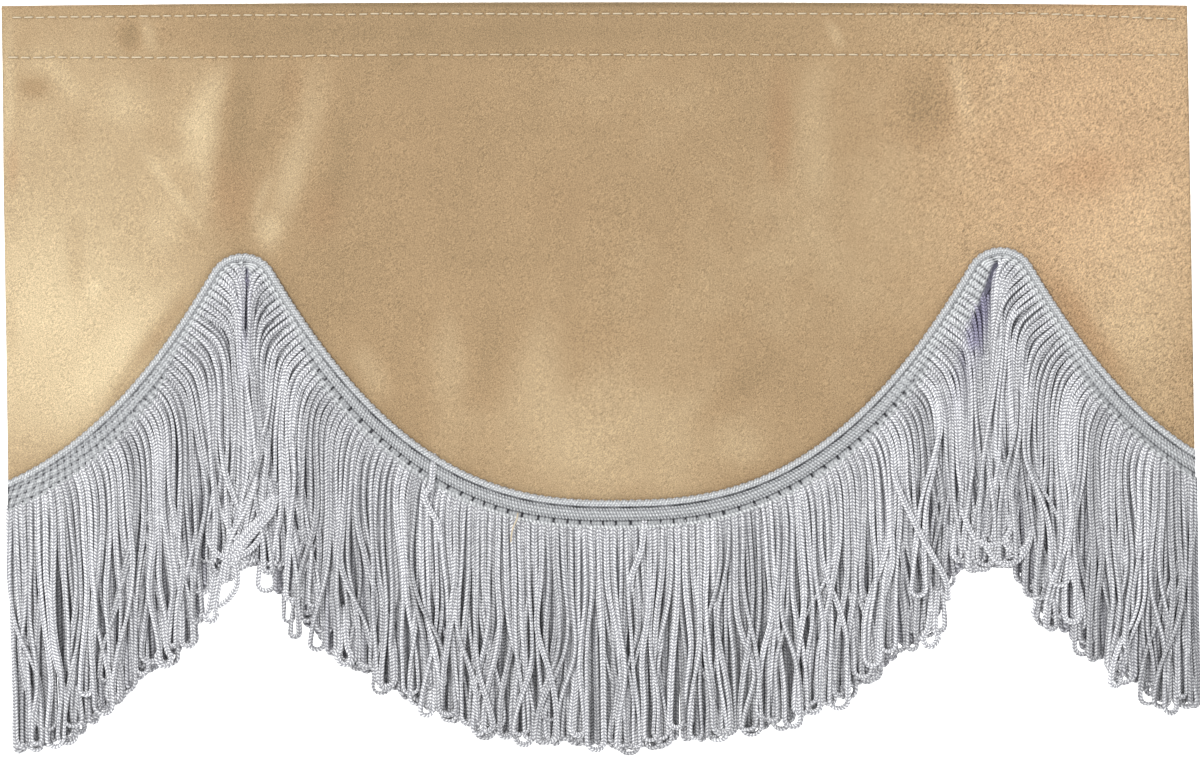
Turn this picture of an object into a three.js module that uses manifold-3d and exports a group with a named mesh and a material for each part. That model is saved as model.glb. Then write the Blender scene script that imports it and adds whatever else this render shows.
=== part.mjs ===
// A truck window valance: a suede-effect cloth panel with a turned heading and a scalloped lower edge,
// edged along its scallops with a looped fringe on a knitted header. Millimetres, +Z up, front facing -Y.
// The origin is the middle of the top edge, between the two layers of the heading.
import * as THREE from 'three';
import { mergeVertices } from 'three/addons/utils/BufferGeometryUtils.js';
import Module from 'manifold-3d';

const wasm = await Module();
wasm.setup();

// Outline of the panel
const SIDE_LEFT = -184.1; // left edge at the height of the origin
const SIDE_RIGHT = 180.6; // right edge at the height of the origin
const SIDE_LEAN = 0.0155; // drift of both edges to the right for each millimetre down
const TOP_BOW = 1.1; // how far the ends of the top edge lie below its middle
const CLOTH = 1.2; // thickness of the cloth
const HEM = 20; // depth of the heading turned to the back
const HEM_STEP = 0.4; // height over which the turned edge thins out

// The scallops: the edge rises from each valley as a power of the distance and turns over in a round cusp
const SCALLOP_PITCH = 232.9;
const VALLEY_X = 6.6; // middle of the whole scallop
const VALLEY_Z = -153.2; // its lowest point, on the header's upper edge
const SWEEP_AT = 96; // distance from the valley at which the edge has risen by SWEEP_RISE
const SWEEP_RISE = 54;
const SWEEP_POWER = 2.57;
const CUSP_START = 106.9; // distance from the valley at which the round of the cusp begins
const TILT = 0.008; // rise of the row of scallops to the right

// The fringe
const HEADER_WIDTH = 9.2;
const HEADER_GAP = 0.4; // between the cloth and the back of the header
const CLOTH_SHORT = 2; // how far the cloth stops above the header's lower edge
const CLOTH_BEHIND = 2; // height above the header at which the cloth's last fold line runs
const LOOP_PITCH = 4.6; // distance between loops along the header's lower edge
const LOOP_WIDTH = 2.25; // between the middles of a loop's two legs
const YARN = 0.95; // from the middle of a yarn to its three corners
const ROOT = 0.7; // length of a leg inside the header
const LAYERS = [0, 1, -1]; // the layers that loops take in turn, counted from the header to the back
const LAYER_STEP = 1.9; // depth between the layers
const LAYERED = 2.4; // length below the header over which the layers part
const BEND = 5; // length over which a loop turns down from a steep stretch of header
const BEND_SHARE = 0.28; // the same beside a cusp, as a share of the distance to its axis
const SIDE_CLEAR = 1.4; // least distance from a side edge to the middle of a leg
const CUSP_CLEAR = 7; // from the loop in the crease of a cusp to the loops beside it
const SHORTEST_BEND = 0.4;
const WAVE = 0.3; // sideways wave of a hanging loop
const WAVE_LENGTH = 46;
const WAVE_START = 15; // length below the header over which the wave grows
const WAVE_STEP = 1.7; // turn of the wave from one loop to the next, in radians
const RAGGED = 1.2; // each of two waves of the loops' lower ends
const RAGGED_STEPS = [2.4, 0.9]; // turn of those two waves from one loop to the next

// Steps of the meshes
const COLUMNS = 88; // along the scalloped edge
const FIELD_ROWS = 6; // between the hem and the header
const OVERRUN = 8; // the edge is worked out this far past the sides, and then cut off
const LEG_STATIONS = [-ROOT, LAYERED, 9, 40];

// Relief of the header: distance across it from its upper edge, and height proud of its back
const HEADER_RELIEF = [
  { across: 0, proud: 0.9 },
  { across: 1.1, proud: 2.2 },
  { across: 2.2, proud: 1.3 },
  { across: 4, proud: 2 },
  { across: 5.8, proud: 1.3 },
  { across: 7.8, proud: 2 },
  { across: HEADER_WIDTH, proud: 1.75 },
];
const CUSP_PINCH = 0.55; // share of the header's height that is lost in the crease of a cusp
const PINCH_WIDTH = 3; // half width of that crease along the edge
const ROOT_DEPTH = 0.7; // height of the yarns' middles above the header's back

// Soft folds of the panel: a ridge along a line, its height towards the front and its half width
const FOLDS = [
  { x: -119, z: -34, toX: -117, toZ: -62, proud: 2, wide: 8 },
  { x: -107, z: -44, toX: -106, toZ: -76, proud: -1.4, wide: 7 },
  { x: -97, z: -52, toX: -98, toZ: -80, proud: 1, wide: 9 },
  { x: -152, z: -40, toX: -160, toZ: -120, proud: -1.2, wide: 16 },
  { x: -172, z: -60, toX: -170, toZ: -140, proud: 2.2, wide: 18 },
  { x: -60, z: -50, toX: -70, toZ: -110, proud: -1, wide: 22 },
  { x: 5, z: -60, toX: 0, toZ: -150, proud: 2.4, wide: 34 },
  { x: 92, z: -50, toX: 84, toZ: -120, proud: -1.2, wide: 24 },
  { x: 150, z: -60, toX: 158, toZ: -130, proud: 1.8, wide: 22 },
];
const FOLD_FADE = 30; // height below the hem over which the folds begin

// Length of the hanging loops, by the place of their root
const LOOP_LENGTHS = [
  { x: -190, length: 75 },
  { x: -163, length: 77.5 },
  { x: -150, length: 77 },
  { x: -136, length: 80 },
  { x: -131, length: 79 },
  { x: -126, length: 72 },
  { x: -119, length: 72 },
  { x: -111, length: 83 },
  { x: -103, length: 73 },
  { x: -76, length: 72.5 },
  { x: -54, length: 68 },
  { x: -12, length: 65.5 },
  { x: 6, length: 67 },
  { x: 37, length: 65.5 },
  { x: 69, length: 69.5 },
  { x: 97, length: 72.5 },
  { x: 105, length: 67 },
  { x: 113, length: 72 },
  { x: 123, length: 84 },
  { x: 139, length: 81 },
  { x: 149, length: 75.5 },
  { x: 166, length: 71.5 },
  { x: 190, length: 69 },
];

const CLOTH_LOOK = { color: 0xc9a678, roughness: 0.85, metalness: 0 };
const FRINGE_LOOK = { color: 0xc6c6ce, roughness: 0.5, metalness: 0 };

// Worked out from the sizes above
const HALF_PITCH = SCALLOP_PITCH / 2;
const CUSP_SLOPE = (SWEEP_RISE * SWEEP_POWER / SWEEP_AT) * (CUSP_START / SWEEP_AT) ** (SWEEP_POWER - 1);
const CUSP_ANGLE = Math.atan(CUSP_SLOPE);
const CUSP_RADIUS = (HALF_PITCH - CUSP_START) / Math.sin(CUSP_ANGLE);
const CUSP_CENTRE = sweep(CUSP_START) - CUSP_RADIUS * Math.cos(CUSP_ANGLE);
const HALF_WIDTH = (SIDE_RIGHT - SIDE_LEFT) / 2;
const CUSPS = [VALLEY_X - HALF_PITCH, VALLEY_X + HALF_PITCH];

function sweep(distance) {
  return SWEEP_RISE * (distance / SWEEP_AT) ** SWEEP_POWER;
}

// Distance from the middle of the nearest scallop
function fromValley(x) {
  const scallop = Math.round((x - VALLEY_X) / SCALLOP_PITCH);
  return Math.abs(x - VALLEY_X - scallop * SCALLOP_PITCH);
}

// Height of the scalloped edge
function edgeHeight(x) {
  const distance = fromValley(x);
  const base = VALLEY_Z + TILT * (x - VALLEY_X);
  if (distance <= CUSP_START) return base + sweep(distance);
  return base + CUSP_CENTRE + Math.sqrt(CUSP_RADIUS ** 2 - (HALF_PITCH - distance) ** 2);
}

// A line that runs a fixed distance below the scalloped edge, square to it
class ScallopLine extends THREE.Curve {
  constructor(below) {
    super();
    this.below = below;
    this.arcLengthDivisions = 1600;
  }

  getPoint(t, target = new THREE.Vector3()) {
    const place = placeOnEdge(t);
    return target.set(
      place.x + this.below * Math.sin(place.angle),
      0,
      place.z - this.below * Math.cos(place.angle),
    );
  }
}

// A place on the scalloped edge and the edge's angle there, t running from 0 at the left to 1 at the right
function placeOnEdge(t) {
  const near = 0.01;
  const x = THREE.MathUtils.lerp(SIDE_LEFT - OVERRUN, SIDE_RIGHT + OVERRUN, t);
  const angle = Math.atan((edgeHeight(x + near) - edgeHeight(x - near)) / (2 * near));
  return { x, z: edgeHeight(x), angle };
}

// How far the cloth's back stands from the flat of the heading, towards +Y
function foldDepth(x, z) {
  const fade = THREE.MathUtils.smoothstep(-z - HEM, 0, FOLD_FADE);
  let proud = 0;
  for (const fold of FOLDS) {
    const alongX = fold.toX - fold.x;
    const alongZ = fold.toZ - fold.z;
    const share = ((x - fold.x) * alongX + (z - fold.z) * alongZ) / (alongX ** 2 + alongZ ** 2);
    const held = THREE.MathUtils.clamp(share, 0, 1);
    const away = Math.hypot(x - fold.x - held * alongX, z - fold.z - held * alongZ);
    proud += fold.proud * Math.exp(-((away / fold.wide) ** 2) / 2);
  }
  return -proud * fade;
}

// A closed solid carried through like sections. Each section lists its front points from one edge to the
// other and then its back points on the way back.
function carried(sections, frontCount) {
  const ring = sections[0].length;
  const positions = sections.flat().flatMap((point) => [point.x, point.y, point.z]);
  const faces = [];
  for (let i = 0; i + 1 < sections.length; i += 1) {
    for (let j = 0; j < ring; j += 1) {
      const a = i * ring + j;
      const b = i * ring + ((j + 1) % ring);
      faces.push(a, b, a + ring, b, b + ring, a + ring);
    }
  }
  const last = (sections.length - 1) * ring;
  for (const [a, b, c] of ladder(frontCount, ring)) {
    faces.push(a, c, b, last + a, last + b, last + c);
  }
  const geometry = new THREE.BufferGeometry();
  geometry.setAttribute('position', new THREE.Float32BufferAttribute(positions, 3));
  geometry.setIndex(faces);
  return geometry;
}

// Triangles that fill one section, from its front points across to its back points
function ladder(frontCount, ring) {
  const triangles = [];
  const backCount = ring - frontCount;
  let front = 0;
  let back = 0;
  while (front + 1 < frontCount || back + 1 < backCount) {
    const step = front * (backCount - 1) <= back * (frontCount - 1) && front + 1 < frontCount;
    const far = ring - 1 - back;
    triangles.push(step ? [front, front + 1, far] : [front, far - 1, far]);
    if (step) front += 1;
    else back += 1;
  }
  return triangles;
}

function toSolid(geometry) {
  return new wasm.Manifold(new wasm.Mesh({
    numProp: 3,
    vertProperties: new Float32Array(geometry.attributes.position.array),
    triVerts: new Uint32Array(geometry.index.array),
  }));
}

function toGeometry(solid) {
  const mesh = solid.getMesh();
  const positions = [];
  for (let i = 0; i < mesh.numVert; i += 1) {
    positions.push(...mesh.vertProperties.slice(i * mesh.numProp, i * mesh.numProp + 3));
  }
  const geometry = new THREE.BufferGeometry();
  geometry.setAttribute('position', new THREE.Float32BufferAttribute(positions, 3));
  geometry.setIndex([...mesh.triVerts]);
  geometry.computeVertexNormals();
  return geometry;
}

// Cuts a solid off along the two leaning side edges
function cutSides(solid) {
  const reach = 60;
  const height = 600;
  let result = solid;
  for (const [edge, way] of [[SIDE_LEFT, -1], [SIDE_RIGHT, 1]]) {
    const block = new THREE.BoxGeometry(reach, reach, height);
    block.deleteAttribute('normal');
    block.deleteAttribute('uv');
    block.translate((way * reach) / 2, 0, 0);
    block.rotateY(-Math.atan(SIDE_LEAN));
    block.translate(edge, 0, 0);
    result = result.subtract(toSolid(mergeVertices(block)));
  }
  return result;
}

const upperEdge = new ScallopLine(0);
const lowerEdge = new ScallopLine(HEADER_WIDTH);

// Equal steps along the upper edge of the header, shared by the panel and the header
function stations() {
  const list = [];
  for (let i = 0; i <= COLUMNS; i += 1) {
    list.push(placeOnEdge(upperEdge.getUtoTmapping(i / COLUMNS)));
  }
  return list;
}

// A point a distance below the scalloped edge, square to it
function below(place, distance) {
  return {
    x: place.x + distance * Math.sin(place.angle),
    z: place.z - distance * Math.cos(place.angle),
  };
}

// The panel. Each section is one column of the cloth, from the top edge down to the scalloped edge behind
// the header and back up to the turned edge of the heading.
function panel() {
  const sections = stations().map((place) => {
    const foot = below(place, HEADER_WIDTH - CLOTH_SHORT);
    const over = below(place, -CLOTH_BEHIND);
    const column = (z) => over.x - SIDE_LEAN * (z - over.z);
    const topZ = -TOP_BOW * ((column(0) - (SIDE_LEFT + HALF_WIDTH)) / HALF_WIDTH) ** 2;
    const field = [];
    for (let row = 1; row <= FIELD_ROWS; row += 1) {
      const z = THREE.MathUtils.lerp(-HEM - HEM_STEP, over.z, row / FIELD_ROWS);
      field.push({ x: column(z), z });
    }
    field.push(foot);
    const top = { x: column(topZ), z: topZ };
    const hem = { x: column(-HEM), z: -HEM };
    const step = { x: column(-HEM - HEM_STEP), z: -HEM - HEM_STEP };
    const at = (point, y) => new THREE.Vector3(point.x, y, point.z);
    const front = [top, hem, ...field].map((point) => at(point, foldDepth(point.x, point.z) - CLOTH));
    const back = [step, ...field].map((point) => at(point, foldDepth(point.x, point.z)));
    return [...front, ...back.reverse(), at(hem, CLOTH), at(top, CLOTH)];
  });
  return toGeometry(cutSides(toSolid(carried(sections, FIELD_ROWS + 3))));
}

// Height of the header's front above its back, less in the crease of a cusp
function proudOfHeader(place, row) {
  const fromAxis = HALF_PITCH - fromValley(place.x);
  const crease = Math.exp(-((fromAxis / PINCH_WIDTH) ** 2));
  return row.proud * (1 - CUSP_PINCH * crease * (row.across / HEADER_WIDTH));
}

function header() {
  const sections = stations().map((place) => {
    const lie = (across, proud) => {
      const point = below(place, across);
      const y = foldDepth(point.x, point.z) - CLOTH - HEADER_GAP - proud;
      return new THREE.Vector3(point.x, y, point.z);
    };
    const front = HEADER_RELIEF.map((row) => lie(row.across, proudOfHeader(place, row)));
    return [...front, lie(HEADER_WIDTH, 0), lie(0, 0)];
  });
  return cutSides(toSolid(carried(sections, HEADER_RELIEF.length)));
}

function lengthAt(x) {
  const after = LOOP_LENGTHS.findIndex((row) => row.x > x);
  const [a, b] = [LOOP_LENGTHS[after - 1], LOOP_LENGTHS[after]];
  return THREE.MathUtils.lerp(a.length, b.length, (x - a.x) / (b.x - a.x));
}

// One loop of the fringe: a yarn that leaves the header square to its lower edge, turns down, and comes
// back up beside itself. Its section is a triangle with one corner to the front.
function loop(number, root) {
  const sine = Math.sin(root.angle);
  const fromAxis = HALF_PITCH - fromValley(root.x);
  const bend = Math.max(SHORTEST_BEND, Math.min(BEND * Math.abs(sine), BEND_SHARE * fromAxis));
  const layer = LAYERS[number % LAYERS.length] * LAYER_STEP;
  const uneven = RAGGED_STEPS.reduce((sum, step) => sum + Math.sin(number * step), 0);
  const length = lengthAt(root.x) + RAGGED * uneven;
  const half = LOOP_WIDTH / 2;
  const rootY = foldDepth(root.x, root.z) - CLOTH - HEADER_GAP - ROOT_DEPTH;

  // Middle of the loop at a distance down it, and its angle from upright
  const middle = (down) => {
    const left = Math.exp(-Math.max(down, 0) / bend);
    const turned = bend * (1 - left);
    const inside = Math.min(down, 0);
    const wave = WAVE * Math.sin((2 * Math.PI * down) / WAVE_LENGTH + number * WAVE_STEP);
    const grown = THREE.MathUtils.clamp(down / WAVE_START, 0, 1);
    return {
      x: root.x + sine * (turned + inside) + wave * grown,
      z: root.z - Math.max(down, 0) + (1 - Math.cos(root.angle)) * turned - Math.cos(root.angle) * inside,
      y: rootY + layer * THREE.MathUtils.smoothstep(down, 0, LAYERED),
      angle: root.angle * left,
    };
  };

  const path = [];
  for (const way of [-1, 1]) {
    const leg = [...LEG_STATIONS, length - half].map((down) => {
      const place = middle(down);
      const across = { x: Math.cos(place.angle) * half * way, z: Math.sin(place.angle) * half * way };
      return { x: place.x + across.x, y: place.y, z: place.z + across.z };
    });
    path.push(...(way < 0 ? leg : leg.reverse()));
  }
  const end = middle(length);
  path.splice(LEG_STATIONS.length + 1, 0, { x: end.x, y: end.y, z: end.z });

  const sections = path.map((point, i) => {
    const before = path[Math.max(i - 1, 0)];
    const after = path[Math.min(i + 1, path.length - 1)];
    const run = Math.hypot(after.x - before.x, after.z - before.z);
    const side = { x: -(after.z - before.z) / run, z: (after.x - before.x) / run };
    return [0, 1, 2].map((corner) => {
      const turn = (corner * 2 * Math.PI) / 3;
      const out = -YARN * Math.sin(turn);
      const y = point.y - YARN * Math.cos(turn);
      return new THREE.Vector3(point.x + side.x * out, y, point.z + side.z * out);
    });
  });
  return toSolid(carried(sections, 2));
}

// Equal steps of about one loop, from one place along the header's lower edge to another
function evenSteps(from, to) {
  const count = Math.round(Math.abs(to - from) / LOOP_PITCH);
  return Array.from({ length: count + 1 }, (_, i) => THREE.MathUtils.lerp(from, to, i / count));
}

// Where the loops leave the header: one in the crease of each cusp, and equal steps between the cusps and
// out to the sides
function roots() {
  const lengths = lowerEdge.getLengths();
  const whole = lengths.at(-1);
  const [left, right] = CUSPS.map((x) => {
    const t = THREE.MathUtils.inverseLerp(SIDE_LEFT - OVERRUN, SIDE_RIGHT + OVERRUN, x);
    return lengths[Math.round(t * (lengths.length - 1))];
  });
  const places = [
    ...evenSteps(left - CUSP_CLEAR, 0),
    ...evenSteps(left + CUSP_CLEAR, right - CUSP_CLEAR),
    ...evenSteps(right + CUSP_CLEAR, whole),
  ].map((along) => placeOnEdge(lowerEdge.getUtoTmapping(along / whole)));
  const between = places.map((place) => ({ ...below(place, HEADER_WIDTH), angle: place.angle }));
  const creases = CUSPS.map((x) => ({ x, z: edgeHeight(x) - HEADER_WIDTH, angle: 0 }));
  return [...between, ...creases].filter(clearOfSides).sort((a, b) => a.x - b.x);
}

function clearOfSides(root) {
  const drift = -SIDE_LEAN * root.z;
  const fromSide = Math.min(root.x - SIDE_LEFT - drift, SIDE_RIGHT + drift - root.x);
  return fromSide > SIDE_CLEAR + LOOP_WIDTH / 2;
}

// The fringe: its loops are joined to the header at their roots and hang free of each other below it
function fringe() {
  return toGeometry(roots().reduce((whole, root, number) => whole.add(loop(number, root)), header()));
}

const valance = new THREE.Group();
for (const [name, geometry, look] of [
  ['panel', panel(), CLOTH_LOOK],
  ['fringe', fringe(), FRINGE_LOOK],
]) {
  const piece = new THREE.Mesh(geometry, new THREE.MeshStandardMaterial(look));
  piece.name = name;
  valance.add(piece);
}

export default valance;
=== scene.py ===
"""A truck window valance: a suede-effect cloth panel with a turned heading and a scalloped lower edge, and
a looped fringe on a knitted header along its scallops. The arrays are in millimetres, and every mesh is in
metres in the frame of the construction: +Z up, the front facing -Y."""
import math

import bpy
import numpy as np
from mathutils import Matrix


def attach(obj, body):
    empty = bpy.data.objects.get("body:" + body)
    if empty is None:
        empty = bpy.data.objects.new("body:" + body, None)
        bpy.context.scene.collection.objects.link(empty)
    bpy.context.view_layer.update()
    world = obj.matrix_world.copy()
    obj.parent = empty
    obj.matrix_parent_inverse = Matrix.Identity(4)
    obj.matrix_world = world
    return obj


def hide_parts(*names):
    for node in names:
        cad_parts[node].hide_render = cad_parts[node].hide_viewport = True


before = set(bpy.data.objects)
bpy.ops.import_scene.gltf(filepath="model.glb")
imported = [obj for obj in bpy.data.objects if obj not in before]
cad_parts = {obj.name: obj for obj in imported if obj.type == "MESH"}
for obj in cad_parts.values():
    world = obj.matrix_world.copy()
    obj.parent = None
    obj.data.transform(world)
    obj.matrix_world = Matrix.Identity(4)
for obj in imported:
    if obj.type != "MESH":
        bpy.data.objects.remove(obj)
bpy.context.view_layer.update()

# The view. The valance hangs flat against a window and is seen square on from far enough away that
# nothing is foreshortened. The picture is 1200 pixels wide and shows 3.25 of them to a millimetre.
PICTURE_WIDTH = 1200
PICTURE_HEIGHT = 757
PIXELS_PER_MM = 3.25
TOP_EDGE_PIXEL = 2
CAMERA_AWAY = 1.6
SENSOR = 36
SEEN_TO = 30

width_seen = PICTURE_WIDTH / PIXELS_PER_MM / 1000
camera_height = -(PICTURE_HEIGHT / 2 - TOP_EDGE_PIXEL) / PIXELS_PER_MM / 1000
lens = bpy.data.cameras.new("camera")
lens.sensor_width = SENSOR
lens.lens = SENSOR * CAMERA_AWAY / width_seen
lens.clip_end = SEEN_TO
camera = bpy.data.objects.new("camera", lens)
camera.location = (0, -CAMERA_AWAY, camera_height)
camera.rotation_euler = (math.pi / 2, 0, 0)
bpy.context.scene.collection.objects.link(camera)
bpy.context.scene.camera = camera
bpy.context.scene.view_settings.view_transform = "Standard"


# The studio. A pale floor runs back in one sweep and turns up into a pale wall well behind the valance,
# which a large soft lamp lights from the upper left and a weaker one from the right. One more lamp stands
# behind the valance, and one lights the wall.
FLOOR_LEVEL = -0.62
FLOOR_FRONT = -6
WALL_BEHIND = 4.5
SWEEP_RADIUS = 1.2
SWEEP_STEPS = 12
STUDIO_HALF_WIDTH = 7
WALL_TOP = 6
PAPER_COLOUR = (0.9, 0.9, 0.9, 1)
PAPER_ROUGHNESS = 0.9
SKY_COLOUR = (0.93, 0.95, 1.0, 1)
SKY_STRENGTH = 0.62
MIDDLE = (0, 0, camera_height)
LAMPS = [
    {"name": "key_lamp", "place": (-1.3, -1.9, 1.1), "aim": MIDDLE, "size": 1.0, "power": 46},
    {"name": "fill_lamp", "place": (1.8, -1.7, 0.1), "aim": MIDDLE, "size": 1.6, "power": 12},
    {"name": "wall_lamp", "place": (0, 1.6, 2.6), "aim": (0, WALL_BEHIND, 0), "size": 2.4, "power": 190},
    {"name": "rear_lamp", "place": (1.4, 2.2, 1.6), "aim": MIDDLE, "size": 1.2, "power": 22},
]


def carried(rings, closed=True):
    """Four-cornered faces of profiles carried along paths. rings is an array of (paths, sections, ring
    points, 3). Each face joins two neighbouring points of a section to the same two of the next, and each
    end is closed by a ladder of faces from one half of its ring across to the other. Gives the faces, and
    the path, the section and the ring point of each corner."""
    paths, sections, ring = rings.shape[:3]
    path, section, point = np.meshgrid(
        np.arange(paths), np.arange(sections - 1), np.arange(ring if closed else ring - 1), indexing="ij"
    )
    corner_path = np.stack([path] * 4, -1).reshape(-1, 4)
    corner_section = np.stack([section, section, section + 1, section + 1], -1).reshape(-1, 4)
    corner_point = np.stack([point, point + 1, point + 1, point], -1).reshape(-1, 4)
    if closed:
        rung = np.arange(ring // 2 - 1)
        ladder = np.stack([rung, rung + 1, ring - 2 - rung, ring - 1 - rung], -1)
        first = np.tile(ladder[:, ::-1], (paths, 1))
        last = np.tile(ladder, (paths, 1))
        owner = np.repeat(np.arange(paths), len(ladder))[:, None] * np.ones(4, int)
        corner_path = np.concatenate([corner_path, owner, owner])
        corner_section = np.concatenate([corner_section, first * 0, last * 0 + sections - 1])
        corner_point = np.concatenate([corner_point, first, last])
    faces = (corner_path * sections + corner_section) * ring + corner_point % ring
    return faces, (corner_path, corner_section, corner_point)


def make_piece(name, points, faces, materials, uv=None, face_materials=None):
    """A smooth mesh object at the origin, from points in millimetres and four-cornered faces. uv holds one
    pair of millimetres for each corner of each face."""
    mesh = bpy.data.meshes.new(name)
    mesh.vertices.add(len(points))
    mesh.vertices.foreach_set("co", (points / 1000).astype(np.float32).ravel())
    mesh.loops.add(faces.size)
    mesh.loops.foreach_set("vertex_index", faces.astype(np.int32).ravel())
    mesh.polygons.add(len(faces))
    mesh.polygons.foreach_set("loop_start", np.arange(0, faces.size, 4, dtype=np.int32))
    mesh.polygons.foreach_set("use_smooth", np.ones(len(faces), bool))
    for material in materials:
        mesh.materials.append(material)
    if face_materials is not None:
        mesh.polygons.foreach_set("material_index", face_materials.astype(np.int32))
    if uv is not None:
        layer = mesh.uv_layers.new(name="lay")
        layer.data.foreach_set("uv", uv.reshape(-1, 2).astype(np.float32).ravel())
    mesh.update(calc_edges=True)
    piece = bpy.data.objects.new(name, mesh)
    bpy.context.scene.collection.objects.link(piece)
    return piece


def new_material(name, finish):
    """A material whose shader has its own sockets set to the finish, with two functions. The first adds a
    node of a kind: each of its sockets is set to a value or fed from another node's socket, and the rest
    are its settings. The second feeds the shader."""
    material = bpy.data.materials.new(name)
    material.use_nodes = True
    tree = material.node_tree

    def feed(node, sockets):
        """Sets each socket to its value, or links it when the value is a socket too."""
        for socket, value in sockets.items():
            if isinstance(value, bpy.types.NodeSocket):
                tree.links.new(value, node.inputs[socket])
            else:
                node.inputs[socket].default_value = value

    def add(kind, sockets, **settings):
        """A new node of this kind, with its sockets fed and its settings made."""
        node = tree.nodes.new("ShaderNode" + kind)
        for setting, value in settings.items():
            setattr(node, setting, value)
        feed(node, sockets)
        return node

    def feed_shader(sockets):
        """Feeds the sockets of the material's own shader."""
        feed(tree.nodes["Principled BSDF"], sockets)

    feed_shader(finish)
    return material, add, feed_shader


def soft_lamp(name, place, aim, size, power):
    """A round lamp, turned so that it faces the place it aims at."""
    lamp = bpy.data.lights.new(name, "AREA")
    lamp.shape = "DISK"
    lamp.size = size
    lamp.energy = power
    holder = bpy.data.objects.new(name, lamp)
    holder.location = place
    way = np.array(aim) - np.array(place)
    level = math.hypot(way[0], way[1])
    holder.rotation_euler = (math.atan2(level, -way[2]), 0, math.atan2(way[1], way[0]) - math.pi / 2)
    bpy.context.scene.collection.objects.link(holder)


turn = np.linspace(0, math.pi / 2, SWEEP_STEPS)
paper_points = np.zeros((1, 2, SWEEP_STEPS + 2, 3))
paper_points[0, :, :, 0] = np.array([[-STUDIO_HALF_WIDTH], [STUDIO_HALF_WIDTH]])
paper_points[0, :, :, 1] = np.concatenate([
    [FLOOR_FRONT], WALL_BEHIND - SWEEP_RADIUS + SWEEP_RADIUS * np.sin(turn), [WALL_BEHIND],
])
paper_points[0, :, :, 2] = np.concatenate([
    [FLOOR_LEVEL], FLOOR_LEVEL + SWEEP_RADIUS - SWEEP_RADIUS * np.cos(turn), [WALL_TOP],
])
paper_faces, _ = carried(paper_points, closed=False)
paper_finish = {"Base Color": PAPER_COLOUR, "Roughness": PAPER_ROUGHNESS}
paper_material, _, _ = new_material("studio_paper", paper_finish)
paper = make_piece("studio_paper", paper_points.reshape(-1, 3) * 1000, paper_faces, [paper_material])
for lamp_row in LAMPS:
    soft_lamp(**lamp_row)

sky = bpy.data.worlds.new("sky")
sky.use_nodes = True
sky.node_tree.nodes["Background"].inputs["Color"].default_value = SKY_COLOUR
sky.node_tree.nodes["Background"].inputs["Strength"].default_value = SKY_STRENGTH
bpy.context.scene.world = sky


# The panel. One piece of gold-tan suede-effect plush, whose top edge is turned to the back as a heading and
# whose lower edge is cut in scallops behind the fringe. It hangs with a few soft folds and pressed marks.
# Places are across from the middle of the picture, and up from the top edge.
# The sides and how they lean, how low the top edge bows, the cloth and its turned heading
SIDE_LEFT = -184.1
SIDE_RIGHT = 180.6
SIDE_LEAN = 0.0155
TOP_BOW = 1.1
CLOTH = 1.15
TURN_INSIDE = 0.05
HEM = 20
# The scallops: how far apart they are, where the whole one is lowest, how each sweeps up by a power of the
# distance until a circle turns it over at the cusp, and how much the row of them tilts
SCALLOP_PITCH = 232.9
VALLEY_X = 6.6
VALLEY_Z = -153.2
SWEEP_AT = 96
SWEEP_RISE = 54
SWEEP_POWER = 2.57
CUSP_START = 106.9
TILT = 0.008
HALF_PITCH = SCALLOP_PITCH / 2
CUSP_SLOPE = SWEEP_RISE * SWEEP_POWER / SWEEP_AT * (CUSP_START / SWEEP_AT) ** (SWEEP_POWER - 1)
CUSP_ANGLE = math.atan(CUSP_SLOPE)
CUSP_RADIUS = (HALF_PITCH - CUSP_START) / math.sin(CUSP_ANGLE)
CUSP_CENTRE = SWEEP_RISE * (CUSP_START / SWEEP_AT) ** SWEEP_POWER - CUSP_RADIUS * math.cos(CUSP_ANGLE)
# The header's width, how far short of its lower edge the cloth ends, and how far above the scallops the rows
# of the cloth begin to run along them
HEADER_WIDTH = 9.2
CLOTH_SHORT = 2
CLOTH_BEHIND = 2
# The columns and rows of its mesh, and how far from the top and from a side its rows turn in line with them
CLOTH_COLUMNS = 372
BACK_ROWS = 15
TURN_ROWS = 7
FRONT_ROWS = 57
EDGE_ROWS = 6
TOP_ROW = 1.4
BOW_FADE = 8
SIDE_TURN = 9

# Main folds. Each is a ridge along a line: where the line starts, across and up, where it ends, how
# far the ridge stands out to the front, and its half width
FOLDS = [
    (-119, -34, -117, -62, 2, 8),
    (-107, -44, -106, -76, -1.4, 7),
    (-97, -52, -98, -80, 1, 9),
    (-152, -40, -160, -120, -1.2, 16),
    (-172, -60, -170, -140, 2.2, 18),
    (-60, -50, -70, -110, -1, 22),
    (5, -60, 0, -150, 2.4, 34),
    (92, -50, 84, -120, -1.2, 24),
    (150, -60, 158, -130, 1.8, 22),
]
FOLD_FADE = 30

# Creases and dents too slight for the construction, in the same terms, and how much of them shows behind
CREASES = [
    (-145, -11, -145, -12, -0.5, 3.5),
    (-139, -11, -139, -12, 0.4, 3.2),
    (-176, -24, -166, -30, -0.5, 6),
    (-168, -34, -156, -33, 0.45, 5),
    (-128, -52, -134, -66, 0.4, 5),
    (-104, -54, -101, -72, 0.5, 4),
    (-92, -24, -90, -58, -0.35, 6),
    (-80, -20, -84, -52, 0.4, 7),
    (-150, -88, -136, -112, 0.4, 7),
    (-164, -72, -176, -104, -0.4, 8),
    (-20, -26, 10, -34, -0.3, 10),
    (60, -24, 82, -44, 0.3, 9),
    (118, -8, 128, -44, -0.3, 9),
]
CREASES_BEHIND = 0.12


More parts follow.
